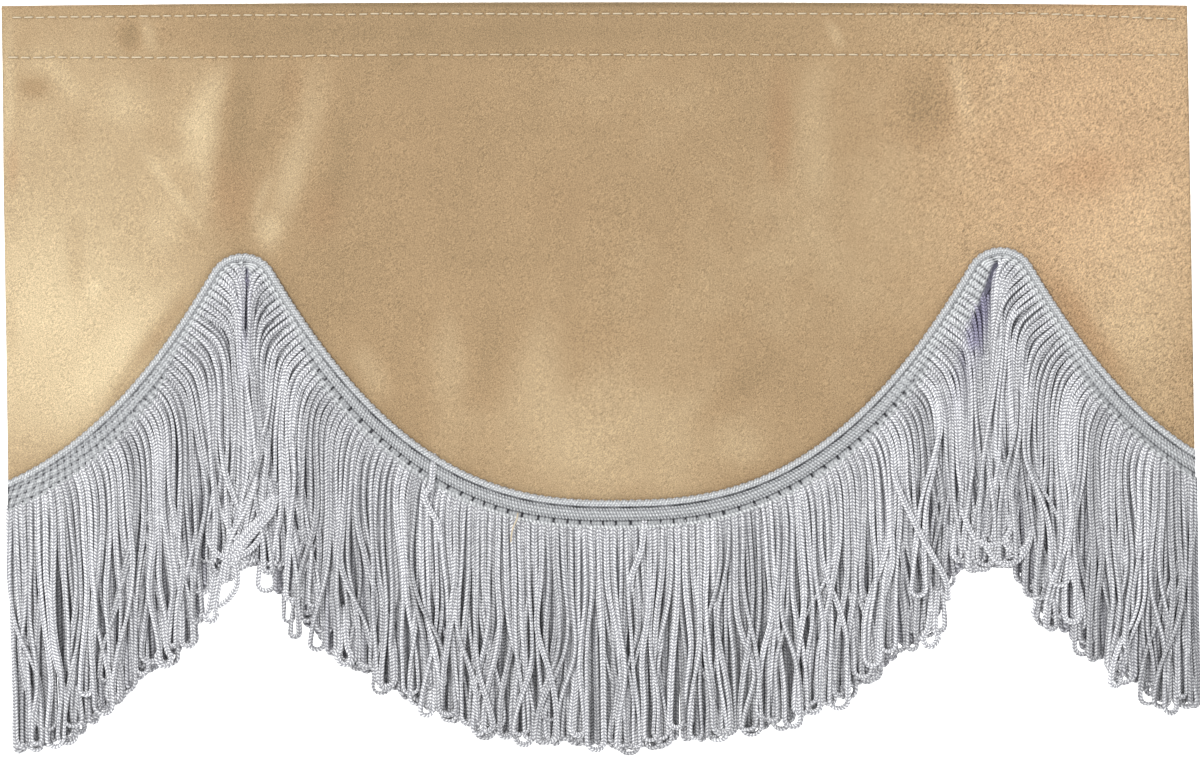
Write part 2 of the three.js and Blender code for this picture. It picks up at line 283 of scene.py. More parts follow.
def edge_height(x):
    """Height of the scalloped edge: from each valley it rises as a power of the distance, and within a few
    millimetres of each cusp it turns over on a circle."""
    away = np.abs(x - VALLEY_X - np.round((x - VALLEY_X) / SCALLOP_PITCH) * SCALLOP_PITCH)
    base = VALLEY_Z + TILT * (x - VALLEY_X)
    rise = SWEEP_RISE * (away / SWEEP_AT) ** SWEEP_POWER
    round_top = CUSP_CENTRE + np.sqrt(np.maximum(CUSP_RADIUS**2 - (HALF_PITCH - away) ** 2, 0))
    return base + np.where(away <= CUSP_START, rise, round_top)


def edge_angle(x, near=0.01):
    """Slope of the scalloped edge, as an angle, from its rise over a very short way."""
    return np.arctan((edge_height(x + near) - edge_height(x - near)) / (2 * near))


def side_meets_edge(side, above=0):
    """Where a leaning side of the panel meets the line that runs so far above the scalloped edge, found by
    going back and forth between the two."""
    x = side
    for _ in range(8):
        x = side - SIDE_LEAN * (edge_height(x) + above)
    return x


def ridges(rows, x, z):
    """Sum of soft ridges: each is a bell curve of the distance from its line."""
    total = np.zeros(np.broadcast(x, z).shape)
    for from_x, from_z, to_x, to_z, proud, wide in rows:
        along_x = to_x - from_x
        along_z = to_z - from_z
        share = ((x - from_x) * along_x + (z - from_z) * along_z) / (along_x**2 + along_z**2)
        held = np.clip(share, 0, 1)
        away = np.hypot(x - from_x - held * along_x, z - from_z - held * along_z)
        total += proud * np.exp(-((away / wide) ** 2) / 2)
    return total


def smooth_rise(value, low, high):
    """0 below low, 1 above high, and an S-curve between them."""
    share = np.clip((value - low) / (high - low), 0, 1)
    return share * share * (3 - 2 * share)


def fold_depth(x, z):
    """How far the back of the cloth stands from the flat of the heading, towards +Y."""
    return -ridges(FOLDS, x, z) * smooth_rise(-z - HEM, 0, FOLD_FADE)


def front_face(x, z):
    """Where the front of the cloth lies, apart from its slight creases."""
    return fold_depth(x, z) - CLOTH - TURN_INSIDE


# Two rows of stitches hold the heading. Each row sags a little towards the sides of the panel, and has
# its own pitch and its own length of stitch on the front.
STITCH_ROWS = [
    {"x": [-184, -66, 102, 132, 182], "z": [-4.9, -3.7, -3.7, -3.5, -5.5], "pitch": 3.55, "front": 2.5},
    {"x": [-184, -123, -66, 182], "z": [-17.1, -17.1, -16.3, -16.3], "pitch": 3.8, "front": 2.75},
]
STITCH_DIMPLE = 0.42
DIMPLE_WIDE = 0.75
STITCH_GATHER = 0.22
GATHER_WIDE = 1.7


def stitch_dimples(x, z):
    """How far the stitches draw the cloth in: a bell curve across each row, deepest between stitches,
    where the thread goes down, and a softer gather all along the row."""
    drawn = np.zeros(np.broadcast(x, z).shape)
    for row in STITCH_ROWS:
        across = z - np.interp(x, row["x"], row["z"])
        down = np.cos(2 * math.pi * x / row["pitch"]) * 0.5 + 0.5
        drawn += STITCH_DIMPLE * np.exp(-((across / DIMPLE_WIDE) ** 2)) * down**3
        drawn += STITCH_GATHER * np.exp(-((across / GATHER_WIDE) ** 2))
    return drawn


def cloth_strip():
    """The cloth as one strip, folded over at the top: columns that lean with the sides, each running from
    the raw edge of the heading up the back, over the top on a half circle and down the front to the lower
    edge, whose last rows run square to the scallops. The strip has a thickness, so each column is a closed
    ring of outer points and then inner points. Gives the rings, and the count of the outer points."""
    left = side_meets_edge(SIDE_LEFT, CLOTH_BEHIND)
    right = side_meets_edge(SIDE_RIGHT, CLOTH_BEHIND)
    edge_x = np.linspace(left, right, CLOTH_COLUMNS)[:, None]
    angle = edge_angle(edge_x)
    angle = angle * smooth_rise(np.minimum(edge_x - left, right - edge_x), 0, SIDE_TURN)
    over_z = edge_height(edge_x) + CLOTH_BEHIND
    top_z = -TOP_BOW * ((edge_x - VALLEY_X) / (SIDE_RIGHT - SIDE_LEFT) * 2) ** 2

    # The rows lie closest along the two rows of stitches
    near_rows = np.concatenate([
        [TOP_ROW, 1.9, 2.4], np.linspace(2.9, 6.3, 9), np.linspace(7.6, 14.2, 6),
        np.linspace(15.1, 18.6, 9), [19.4, 20.4],
    ])
    near_z = top_z * (1 - smooth_rise(near_rows, TOP_ROW, BOW_FADE)) - near_rows
    far_z = near_z[:, -1:] + (over_z - near_z[:, -1:]) * np.linspace(0, 1, FRONT_ROWS + 1)[1:]
    front_z = np.concatenate([near_z, far_z], 1)
    front_x = edge_x - SIDE_LEAN * (front_z - over_z)
    down = np.linspace(0, HEADER_WIDTH - CLOTH_SHORT + CLOTH_BEHIND, EDGE_ROWS + 1)[None, 1:]
    front_x = np.concatenate([front_x, edge_x + down * np.sin(angle)], 1)
    front_z = np.concatenate([front_z, over_z - down * np.cos(angle)], 1)
    back_rows = np.linspace(HEM, TOP_ROW, BACK_ROWS)
    back_z = top_z * (1 - smooth_rise(back_rows, TOP_ROW, BOW_FADE)) - back_rows
    back_x = edge_x - SIDE_LEAN * (back_z - over_z)

    half = CLOTH / 2
    middle_depth = half + TURN_INSIDE
    turn_over = np.linspace(0, math.pi, TURN_ROWS)[None, :]
    top_x = edge_x - SIDE_LEAN * (top_z - over_z)
    sides = []
    for way in (1, -1):
        reach = middle_depth + way * half
        back_y = np.full(back_z.shape, reach) + CREASES_BEHIND * ridges(CREASES, back_x, back_z)
        drawn = stitch_dimples(front_x, front_z) * smooth_rise(way, -1, 1)
        lift = ridges(CREASES, front_x, front_z) - drawn
        front_y = fold_depth(front_x, front_z) - middle_depth - way * half - lift
        fold_y = reach * np.cos(turn_over) * np.ones_like(top_z)
        fold_z = top_z - middle_depth - half + reach * np.sin(turn_over)
        fold_x = np.broadcast_to(top_x, fold_z.shape)
        sides.append(np.stack([
            np.concatenate([back_x, fold_x, front_x], 1),
            np.concatenate([back_y, fold_y, front_y], 1),
            np.concatenate([back_z, fold_z, front_z], 1),
        ], -1))
    outer, inner = sides
    return np.concatenate([outer, inner[:, ::-1]], 1), outer.shape[1]


def spread(add, value, low, high, to_low, to_high):
    """A node's value, carried from one range to another."""
    return add("MapRange", {
        "Value": value, "From Min": low, "From Max": high, "To Min": to_low, "To Max": to_high,
    }).outputs["Result"]


def shaded(add, value, stops):
    """A colour ramp. Each stop is a place from 0 to 1 and its colour."""
    node = add("ValToRGB", {"Fac": value})
    first, *between, last = stops
    for element, (place, colour) in zip(node.color_ramp.elements, (first, last)):
        element.position = place
        element.color = colour
    for place, colour in between:
        node.color_ramp.elements.new(place).color = colour
    return node.outputs["Color"]


def calculated(add, operation, *values):
    """One sum on values or on what other nodes give."""
    return add("Math", dict(enumerate(values)), operation=operation).outputs[0]


def marked(add, name):
    """The number that each point of the mesh keeps under this name."""
    return add("Attribute", {}, attribute_name=name).outputs["Fac"]


def tinted(add, colour, share, tint):
    """The colour, multiplied by the tint as far as the share goes."""
    node = add("Mix", {"Factor": share, "A": colour, "B": tint}, data_type="RGBA", blend_type="MULTIPLY")
    return node.outputs["Result"]


def lit(add, colour, share):
    """The colour, made lighter or darker as a whole."""
    return add("VectorMath", {0: colour, "Scale": share}, operation="SCALE").outputs["Vector"]


def raised(add, height, strength, distance):
    """A relief that the light shows, as deep as the distance in metres."""
    return add("Bump", {"Height": height, "Strength": strength, "Distance": distance}).outputs["Normal"]


def nap_material(name, shades, bump, sheen):
    """Short brushed pile. The colour runs through the shades by the attribute "lie", which holds the way the
    pile was last stroked together with painted sheen and painted shade of the folds, with slow blotches, and
    turns redder by "warm". A diagonal grain under a millimetre long breaks up the colour and raises the
    surface, and grows coarser, like leather, by "coarse"."""
    material, add, feed_shader = new_material(name, {
        "Roughness": 0.82, "Specular IOR Level": 0.25,
        "Sheen Weight": sheen, "Sheen Roughness": 0.45, "Sheen Tint": (1, 0.86, 0.62, 1),
    })
    place = add("TexCoord", {}).outputs["Object"]
    turned = add("Mapping", {"Vector": place, "Rotation": (0, math.radians(48), 0)}).outputs["Vector"]
    grained = add("Mapping", {"Vector": turned, "Scale": (1500, 1900, 3000)}).outputs["Vector"]
    fine = add("TexNoise", {
        "Vector": grained, "Scale": 1.4, "Detail": 2, "Roughness": 0.6, "Distortion": 0.5,
    }).outputs["Fac"]
    leather = add("TexNoise", {
        "Vector": grained, "Scale": 0.92, "Detail": 2, "Roughness": 0.55, "Distortion": 0.9,
    }).outputs["Fac"]
    grain = add("Mix", {
        "Factor": marked(add, "coarse"), "A": fine, "B": spread(add, leather, 0.3, 0.7, 0.24, 0.83),
    }).outputs["Result"]
    blotch = add("TexNoise", {"Vector": place, "Scale": 60, "Detail": 4, "Roughness": 0.6}).outputs["Fac"]
    lie = calculated(add, "ADD", marked(add, "lie"), spread(add, blotch, 0.25, 0.75, -0.06, 0.06))
    redder = tinted(add, shaded(add, lie, shades), marked(add, "warm"), (1.08, 0.93, 0.90, 1))
    feed_shader({
        "Base Color": lit(add, redder, spread(add, grain, 0.28, 0.72, 0.55, 1.45)),
        "Normal": raised(add, grain, bump, 0.0003),
    })
    return material


# The colours of each side of the cloth, where its pile lies deep, plain and pale; the deep end also serves
# as painted fold shade and the pale end as painted sheen
FACE_SHADES = [(0, (0.24, 0.165, 0.085, 1)), (0.35, (0.345, 0.235, 0.125, 1)), (1, (0.60, 0.475, 0.29, 1))]
BACK_SHADES = [(0, (0.34, 0.25, 0.14, 1)), (0.35, (0.42, 0.31, 0.18, 1)), (1, (0.52, 0.40, 0.25, 1))]
# The grain grows coarse towards the right, between these places, and a little later lower down
COARSE_FROM = 40
COARSE_TO = 110
COARSE_LATER = 0.3
# Where the pile lies lighter or darker, and where painted sheen and painted fold shade lie on it, with a
# painted shade line along the top fold: soft patches by their middle, across and up, their half sizes, the
# lean of their long axis in degrees, how much lighter they are, and how much redder
PLAIN_LIE = 0.33
NAP_AND_PAINTED_LIGHT_PATCHES = [
    (-166.2, -45.5, 40, 36.9, 0, 0.25, 0),
    (-169.2, -107.1, 36.9, 29.2, 0, 0.58, -0.2),
    (-152.3, -111.7, 4.9, 18.5, 38, 0.16, 0),
    (-122.5, -36.9, 4, 11.1, 10, 0.3, 0),
    (-126.8, -37.5, 4, 4, 0, 0.1, 0),
    (-117.2, -25.2, 2.8, 6.2, 20, 0.12, 0),
    (-131.7, -48.6, 5.5, 3.1, -15, 0.1, 0),
    (-131.4, -57.8, 1.5, 10.5, -37, 0.16, 0),
    (-121.8, -54.8, 2.5, 9.8, 5, 0.12, 0),
    (-133.8, -69.5, 4.6, 6.8, 10, 0.14, 0),
    (-110.8, -35.7, 3.7, 13.5, 8, -0.17, 0),
    (-113.2, -59.4, 4.9, 9.2, 5, -0.05, 0.3),
    (-103.4, -42.5, 1.8, 7.4, 20, -0.1, 0),
    (-95.1, -54.2, 3.7, 15.4, 15, 0.22, 0),
    (-103.7, -59.4, 1.2, 5.5, 22, 0.16, 0),
    (-102.2, -70.2, 3.4, 4.3, 0, 0.22, 0),
    (-86.8, -27.1, 4.3, 8.6, 5, 0.1, 0),
    (-80.6, -50.2, 2.8, 13.5, 8, -0.1, 0),
    (-95.1, -25.2, 2.2, 4.6, 0, -0.08, 0.2),
    (-84.6, -64.6, 4.3, 6.8, 20, -0.03, 0.3),
    (-144.6, -10.5, 2.2, 3.4, 0, -0.26, 0),
    (-138.5, -10.8, 1.8, 4.3, -15, 0.16, 0),
    (-173.8, -26.5, 3.7, 2.8, 0, -0.2, 0),
    (-164.9, -24, 2.5, 5.5, -35, 0.14, 0),
    (-172.3, -17.8, 4.3, 2.8, 0, 0.08, 0),
    (-147.1, -32.6, 4.9, 6.2, -20, 0.12, -0.1),
    (-161.5, -39.4, 3.1, 4, 0, -0.1, 0),
    (-135.1, -22.8, 2.8, 3.1, 0, -0.08, 0),
    (-155.4, -88.6, 1.5, 2.2, 20, 0.2, 0),
    (-161.2, -80, 2.2, 9.8, 0, -0.13, 0),
    (-138.5, -105.5, 2.5, 15.4, 38, -0.26, 0.2),
    (-147.7, -120.9, 1.8, 6.2, 42, -0.16, 0),
    (-181.8, -27.1, 1.5, 18.5, 0, 0.16, 0),
    (-180.6, -50.2, 1.8, 6.2, 0, -0.1, 0.3),
    (-180.9, -99.4, 1.8, 8.6, 0, -0.14, 0.2),
    (-70.2, -113.8, 3.7, 7.4, -35, 0.14, 0),
    (-61.5, -18.5, 2.5, 3.1, 0, -0.1, 0),
    (-46.2, -113.8, 4.9, 16, 0, 0.15, 0),
    (-33.8, -108.9, 2.8, 14.2, 0, -0.07, 0),
    (-18.2, -113.2, 5.5, 15.4, 5, 0.13, 0),
    (3.1, -134.8, 32, 17, 0, 0.24, 0),
    (42.5, -119.4, 3.7, 13.5, 50, -0.14, 0),
    (44.6, -136.9, 5.5, 4.6, 0, 0.12, 0),
    (55.1, -36.9, 2.8, 13.5, 0, -0.1, 0.4),
    (66.2, -39.4, 4, 19.1, 0, 0.12, 0),
    (100.3, -32.6, 6.2, 8.6, 0, -0.24, 0),
    (111.1, -27.1, 2.2, 8, -15, 0.18, 0),
    (72, -9.8, 1.8, 4, -30, 0.18, 0),
    (123.1, -25.5, 3.1, 9.8, 20, 0.1, 0),
    (153.8, -45.5, 40, 52.3, 0, 0.215, 0.6),
    (150.8, -52.3, 9.2, 5.5, 0, -0.1, 0.2),
    (166.2, -68.6, 15.4, 11.1, 0, 0.1, 0),
    (149.5, -100.9, 3.1, 17.2, -35, -0.16, 0.2),
    (163.1, -97.8, 12.3, 20.3, 0, 0.14, -0.1),
    (12.3, -27.7, 18.5, 15.4, 0, 0.06, 0),
    (73.8, -70.2, 27.7, 24.6, 0, 0.1, 0),
    (-12.3, -60.9, 9.2, 8, 0, -0.03, 0.1),
    (-107.7, -10.5, 33.8, 4.9, 0, -0.08, 0),
    (-24.6, -9.2, 61.5, 4.9, 0, -0.12, 0),
    (-76.9, -1.8, 80, 1.5, 0, -0.08, 0),
    (92.3, -1.8, 80, 1.5, 0, -0.05, 0),
    (40, -0.7, 165, 0.8, 0, -0.3, 0),
    (-52.3, -45.5, 18.5, 21.5, 0, -0.03, 0.05),
    (-86.2, -87.1, 12.3, 9.2, 0, -0.06, 0),
    (27.7, -91.7, 24.6, 18.5, 0, 0.06, 0),
    (173.8, -17.8, 6.8, 12.3, 0, 0.05, 0),
]


def pile_lie_and_painted_light(x, z):
    """How light and how warm the pile lies, with its painted sheen and painted fold shade: the plain values
    plus the sum of the soft patches, each a bell curve of the distance from its middle along and across its
    long axis."""
    lie = np.full(x.shape, PLAIN_LIE)
    warm = np.zeros(x.shape)
    for middle_x, middle_z, wide, tall, lean, lighter, redder in NAP_AND_PAINTED_LIGHT_PATCHES:
        lean = math.radians(lean)
        across = (x - middle_x) * math.cos(lean) - (z - middle_z) * math.sin(lean)
        along = (x - middle_x) * math.sin(lean) + (z - middle_z) * math.cos(lean)
        away = (across / wide) ** 2 + (along / tall) ** 2
        bell = np.exp(-((away / 1.6) ** 1.3))
        lie += lighter * bell
        warm += redder * bell
    return lie, warm


def mark_points(piece, name, values):
    """Keeps one number for each point of a mesh, which its material reads by that name."""
    layer = piece.data.attributes.new(name, "FLOAT", "POINT")
    layer.data.foreach_set("value", values.astype(np.float32).ravel())


cloth_rings, outer_count = cloth_strip()
cloth_faces, (_, _, cloth_point) = carried(cloth_rings[None])
cloth_points = cloth_rings.reshape(-1, 3)
face_cloth = nap_material("suede_cloth", FACE_SHADES, bump=0.45, sheen=0.12)
back_cloth = nap_material("cloth_back", BACK_SHADES, bump=0.25, sheen=0.05)
cloth = make_piece(
    "panel_cloth", cloth_points, cloth_faces, [face_cloth, back_cloth],
    face_materials=cloth_point.min(1) >= outer_count - 1,
)
cloth_x, _, cloth_z = cloth_points.T
cloth_lie_and_painted_light, cloth_warm = pile_lie_and_painted_light(cloth_x, cloth_z)
# The lie carries painted sheen and painted shade of the folds along with the pile's own lie
mark_points(cloth, "lie", cloth_lie_and_painted_light)
mark_points(cloth, "warm", cloth_warm)
mark_points(cloth, "coarse", smooth_rise(cloth_x + COARSE_LATER * cloth_z, COARSE_FROM, COARSE_TO))
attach(cloth, "root")
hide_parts("panel")


# The heading's thread. Pale stitches of a lockstitch, on the front and on the back of the heading, each
# lying proud between the two holes it goes down.
THREAD = 0.23
THREAD_FLAT = 0.8
THREAD_ROUND = 1.6
THREAD_COLOUR = (0.66, 0.55, 0.38, 1)
# The thread's colour in painted shade, in the hollows of its twist
THREAD_PAINTED_SHADE = (0.495, 0.4125, 0.285, 1)
STITCH_STATIONS = 9
STITCH_PROUD = 0.34
STITCH_SUNK = 0.22
STITCH_SLANT = 0.035
STITCH_SHORTEST = 0.9
STITCH_LONGEST = 1.08
STITCH_OFF_LINE = 0.06
SIDE_BARE = 1.4
rng = np.random.default_rng(11)


def tubes(centres, across, facing, widths, thicks, section):
    """Tubes round centre lines. centres is (tubes, sections, 3). across and facing are unit vectors of the
    same shape, along the wide and the narrow way of the section, which is a list of (wide, narrow) shares
    of the half sizes."""
    wide = section[:, 0][None, None, :, None] * widths[..., None, None] * across[:, :, None, :]
    thick = section[:, 1][None, None, :, None] * thicks[..., None, None] * facing[:, :, None, :]
    return centres[:, :, None, :] + wide + thick


def unit(vector):
    """Each vector over its own length."""
    return vector / (np.linalg.norm(vector, axis=-1, keepdims=True) + 1e-9)


def frames(centres, facing):
    """Unit vectors across each centre line and facing out from it, square to its run."""
    run = unit(np.gradient(centres, axis=1))
    across = unit(np.cross(run, facing))
    return across, np.cross(across, run)


def length_along(centres):
    """The length of each line up to each of its points: the sum of the steps before it."""
    step = np.linalg.norm(np.diff(centres, axis=1), axis=-1)
    return np.concatenate([np.zeros((len(centres), 1)), np.cumsum(step, 1)], 1)


def stitches(x_list, z_list, length, slope, surface, out):
    """Short bowed threads: a half ellipse in height over each stitch's length."""
    share = np.linspace(-1, 1, STITCH_STATIONS)
    bow = np.sqrt(np.maximum(1 - share**2, 0)) ** 0.6
    x = x_list[:, None] + share * length[:, None] / 2 * np.cos(slope)[:, None]
    z = z_list[:, None] + share * length[:, None] / 2 * np.sin(slope)[:, None]
    y = surface(x, z) + out * (bow * STITCH_PROUD - STITCH_SUNK)
    return np.stack([x, y, z], -1)


def thread_material():
    """Twisted thread: slanting bands along it, painted darker in their hollows as shade."""
    material, add, feed_shader = new_material("thread", {"Roughness": 0.5})
    lay = add("UVMap", {}, uv_map="lay").outputs["UV"]
    twist = add("TexWave", {"Vector": lay, "Scale": 1.4}, bands_direction="DIAGONAL").outputs["Fac"]
    feed_shader({"Base Color": shaded(add, twist, [(0, THREAD_PAINTED_SHADE), (1, THREAD_COLOUR)])})
    return material


def thread_piece(name, lines, out, corners):
    """Threads as tubes of so many corners, with millimetres round and along each for its twist."""
    turns = np.arange(corners) * 2 * math.pi / corners
    section = np.stack([np.cos(turns), np.sin(turns)], -1)
    across, facing = frames(lines, np.broadcast_to([0.0, out, 0.0], lines.shape))
    half = np.full(lines.shape[:2], THREAD)
    rings = tubes(lines, across, facing, half, half * THREAD_FLAT, section)
    faces, (path, station, point) = carried(rings)
    lay = np.stack([point / corners * THREAD_ROUND, length_along(lines)[path, station]], -1)
    piece = make_piece(name, rings.reshape(-1, 3), faces, [thread], uv=lay)
    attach(piece, "root")
    return piece


def heading_front(x, z):
    """The front of the heading, a little drawn in along the row."""
    return front_face(x, z) - ridges(CREASES, x, z) + 0.4 * STITCH_GATHER


def heading_back(x, z):
    """The back of the heading, which is flat."""
    return np.full(x.shape, CLOTH + TURN_INSIDE)


thread = thread_material()
heading_stitches = []
for row in STITCH_ROWS:
    start = SIDE_LEFT + SIDE_BARE
    count = int((SIDE_RIGHT - SIDE_BARE - start) / row["pitch"])
    at_x = (math.ceil(start / row["pitch"]) + 0.5 + np.arange(count)) * row["pitch"]
    at_x = at_x[at_x < SIDE_RIGHT - SIDE_BARE]
    slope = rng.normal(0, STITCH_SLANT, len(at_x))
    length = row["front"] * rng.uniform(STITCH_SHORTEST, STITCH_LONGEST, len(at_x))
    at_z = np.interp(at_x, row["x"], row["z"]) + rng.normal(0, STITCH_OFF_LINE, len(at_x))
    heading_stitches.append(stitches(at_x, at_z, length, slope, heading_front, -1))
    heading_stitches.append(stitches(at_x, at_z, length, slope, heading_back, 1))
heading_thread = thread_piece("heading_thread", np.concatenate(heading_stitches), -1.0, 8)


# The header of the fringe. A knitted band as wide as a finger nail: a corded edge with small round bumps,
# rows of nubs, an open row with slots, and a last row that holds the loops. On the slopes cross ribs show
# through. It is sewn flat along the scallops, and folds in a sharp crease at each cusp.
# How far it stands from the cloth, the step of its mesh along the edge, and the sizes of its cord and knit
HEADER_GAP = 0.4
HEADER_STEP = 0.25
CORD_WIDE = 2.2
CORD_BUMP = 2.3
NUB = 0.95
ROW = 0.93
SLOT_PITCH = 3.95
# The legs of the loops: how far apart they leave the header, in how many layers, and how far across it
LEG_PITCH = 0.54
LAYER_COUNT = 4
ROOT_ACROSS = 7.2
ROOT_LINE = 6
ROOT_LEAST = 4.4
FOLD_MARGIN = 0.5
RUN_POINTS = 30001
DOWN_FOLD_COUNTS = 0.4
# The lie of each flank at a cusp, over what way it turns over, and from where to where it is let go
FLAP_ANGLE = 0.91
FLAP_TURN = 2.5
FLAP_NEAR = 8
FLAP_FAR = 16
SIDE_BLEND = 13
# How far the band thins at its last row, where its back begins and has its middle, how much the cord's bumps
# wave its edge, how thin it gets at least, and the tint of the painted shade on white yarn deep in a fold
LAST_FALL = 0.55
BACK_TURN = 0.5
BACK_MIDDLE = 4.4
CORD_WAVE = 0.42
THINNEST = 0.12
VIOLET_SHADE = (0.5, 0.47, 0.64, 1)
# Along the panel: the open row's place across the header, and how far cross ribs take the place of the long
# rows, in the upper part and in the last part, and how far the knit is a coarse lattice
KNIT = {
    "x": [-190, -172, -156, -140, -124, -96, -84, -70, -20, 40, 66, 82, 100, 146, 160, 190],
    "open_row": [6.0, 6.0, 6.1, 5.9, 5.0, 5.0, 5.6, 6.2, 7.0, 7.0, 6.8, 6.6, 5.6, 5.4, 6.3, 6.7],
    "upper_ribs": [0, 0, 0, 0.5, 1, 1, 0.5, 0, 0, 0, 0, 0.2, 1, 1, 0.2, 0],
    "lower_ribs": [0.3, 0.5, 0.8, 1, 1, 1, 1, 0.6, 0, 0, 0.3, 0.9, 1, 1, 1, 1],
    "lattice": [1, 1, 0.7, 0.2, 0, 0, 0, 0, 0, 0, 0, 0, 0, 0, 0, 0],
}
# The fold at each cusp: where its line starts and ends, and how wide it opens along the line
CREASES_AT_CUSPS = [
    {"x": -108.6, "z": -84.0, "to_x": -108.9, "to_z": -101, "open": 0.1, "to_open": 0.7},
    {"x": 121.0, "z": -81.3, "to_x": 114.4, "to_z": -106, "open": 0.2, "to_open": 4.4},
]


left_end = side_meets_edge(SIDE_LEFT)
right_end = side_meets_edge(SIDE_RIGHT)
down_side = math.atan(SIDE_LEAN)


def from_cusp(x):
    """Distance from the middle of the nearest cusp, positive to its right."""
    past = (x - VALLEY_X - HALF_PITCH) / SCALLOP_PITCH
    return (past - np.round(past)) * SCALLOP_PITCH


def in_line_with_side(x, lie):
    """An angle that turns, within SIDE_BLEND of each side of the panel, to the lie of that side, because
    the ends of the header are cut in line with the cloth."""
    from_side = np.minimum(x - left_end, right_end - x)
    return down_side + (lie - down_side) * smooth_rise(from_side, 0, SIDE_BLEND)


def flap_angle(x):
    """Lie of the cross ribs: square to the edge, but round a cusp each side keeps the lie of its own flank,
    up to the very middle, where it turns over from one side to the other."""
    away = from_cusp(x)
    held = -FLAP_ANGLE * np.tanh(away / FLAP_TURN)
    share = 1 - smooth_rise(np.abs(away), FLAP_NEAR, FLAP_FAR)
    return in_line_with_side(x, edge_angle(x) * (1 - share) + held * share)


def cusp_crease(x, z):
    """The middle of the fold of the nearest cusp at the height z, how wide it is open there, and how far
    down its line that is, from 0 to 1. Above and below its line the fold goes on straight."""
    left, right = CREASES_AT_CUSPS
    at_right = (x > VALLEY_X).astype(float)
    found = {key: left[key] * (1 - at_right) + right[key] * at_right for key in left}
    share = (found["z"] - z) / (found["z"] - found["to_z"])
    middle = found["x"] + (found["to_x"] - found["x"]) * share
    wide = found["open"] + (found["to_open"] - found["open"]) * np.clip(share, 0, 1)
    return middle, wide, share


def header_point(x, across):
    """A place on the header: square to the edge as far as the cord is wide, then along the ribs. Where both
    turn in line with the side they reach further, so that the header keeps its width."""
    lie = edge_angle(x)
    angle = in_line_with_side(x, lie)
    flap = flap_angle(x)
    further = 1 / np.cos(lie - angle)
    cord_part = np.minimum(across, CORD_WIDE) * further
    rib_part = np.maximum(across - CORD_WIDE, 0) * further
    point_x = x + cord_part * np.sin(angle) + rib_part * np.sin(flap)
    point_z = edge_height(x) - cord_part * np.cos(angle) - rib_part * np.cos(flap)
    return point_x, point_z


def rib_end(x):
    """How far across the header the rib that starts at x can run before it meets the fold of its cusp."""
    across = np.full(x.shape, ROOT_ACROSS)
    away = from_cusp(x)
    for _ in range(4):
        point_x, point_z = header_point(x, across)
        middle, wide, _ = cusp_crease(x, point_z)
        left_room = middle - wide / 2 - FOLD_MARGIN - point_x
        room = np.where(away < 0, left_room, point_x - middle - wide / 2 - FOLD_MARGIN)
        slope = np.maximum(np.abs(np.sin(flap_angle(x))), 0.3)
        near = np.abs(away) < FLAP_FAR
        across = np.where(near, np.clip(across + room / slope, ROOT_LEAST, ROOT_ACROSS), across)
    return across


def header_run():
    """Fine steps along the header, with the length along its edge and the length along the line where the
    loops leave it, which counts for less where that line runs down a fold."""
    x = np.linspace(left_end, right_end, RUN_POINTS)
    along = np.concatenate([[0], np.cumsum(np.hypot(np.diff(x), np.diff(edge_height(x))))])
    end = rib_end(x)
    line_x, line_z = header_point(x, np.minimum(end, ROOT_LINE))
    counted = np.where(end < ROOT_LINE, DOWN_FOLD_COUNTS, 1.0)
    step = np.hypot(np.diff(line_x), np.diff(line_z)) * (counted[1:] + counted[:-1]) / 2
    return x, along, np.concatenate([[0], np.cumsum(step)])


def lobes(turns, power=1.0):
    """Round lobes, one to each turn, from 0 between them to 1 at their middle."""
    return (0.5 + 0.5 * np.cos(2 * math.pi * turns)) ** power


# Each loop has two legs in the same layer, so the legs come in whole rounds of two to each layer
run_x, run_along, run_roots = header_run()
leg_count = int(run_roots[-1] / LEG_PITCH)
leg_count -= leg_count % (2 * LAYER_COUNT)
run_legs = run_roots / run_roots[-1] * leg_count


def ring_hump(away, half_wide, power=4):
    """1 in the middle, and falling steeply to 0 past half_wide."""
    return np.exp(-((away / half_wide) ** power))


def blend(first, second, share):
    """Each pair of height and painted shade, mixed by the share of the second."""
    return [one * (1 - share) + two * share for one, two in zip(first, second)]


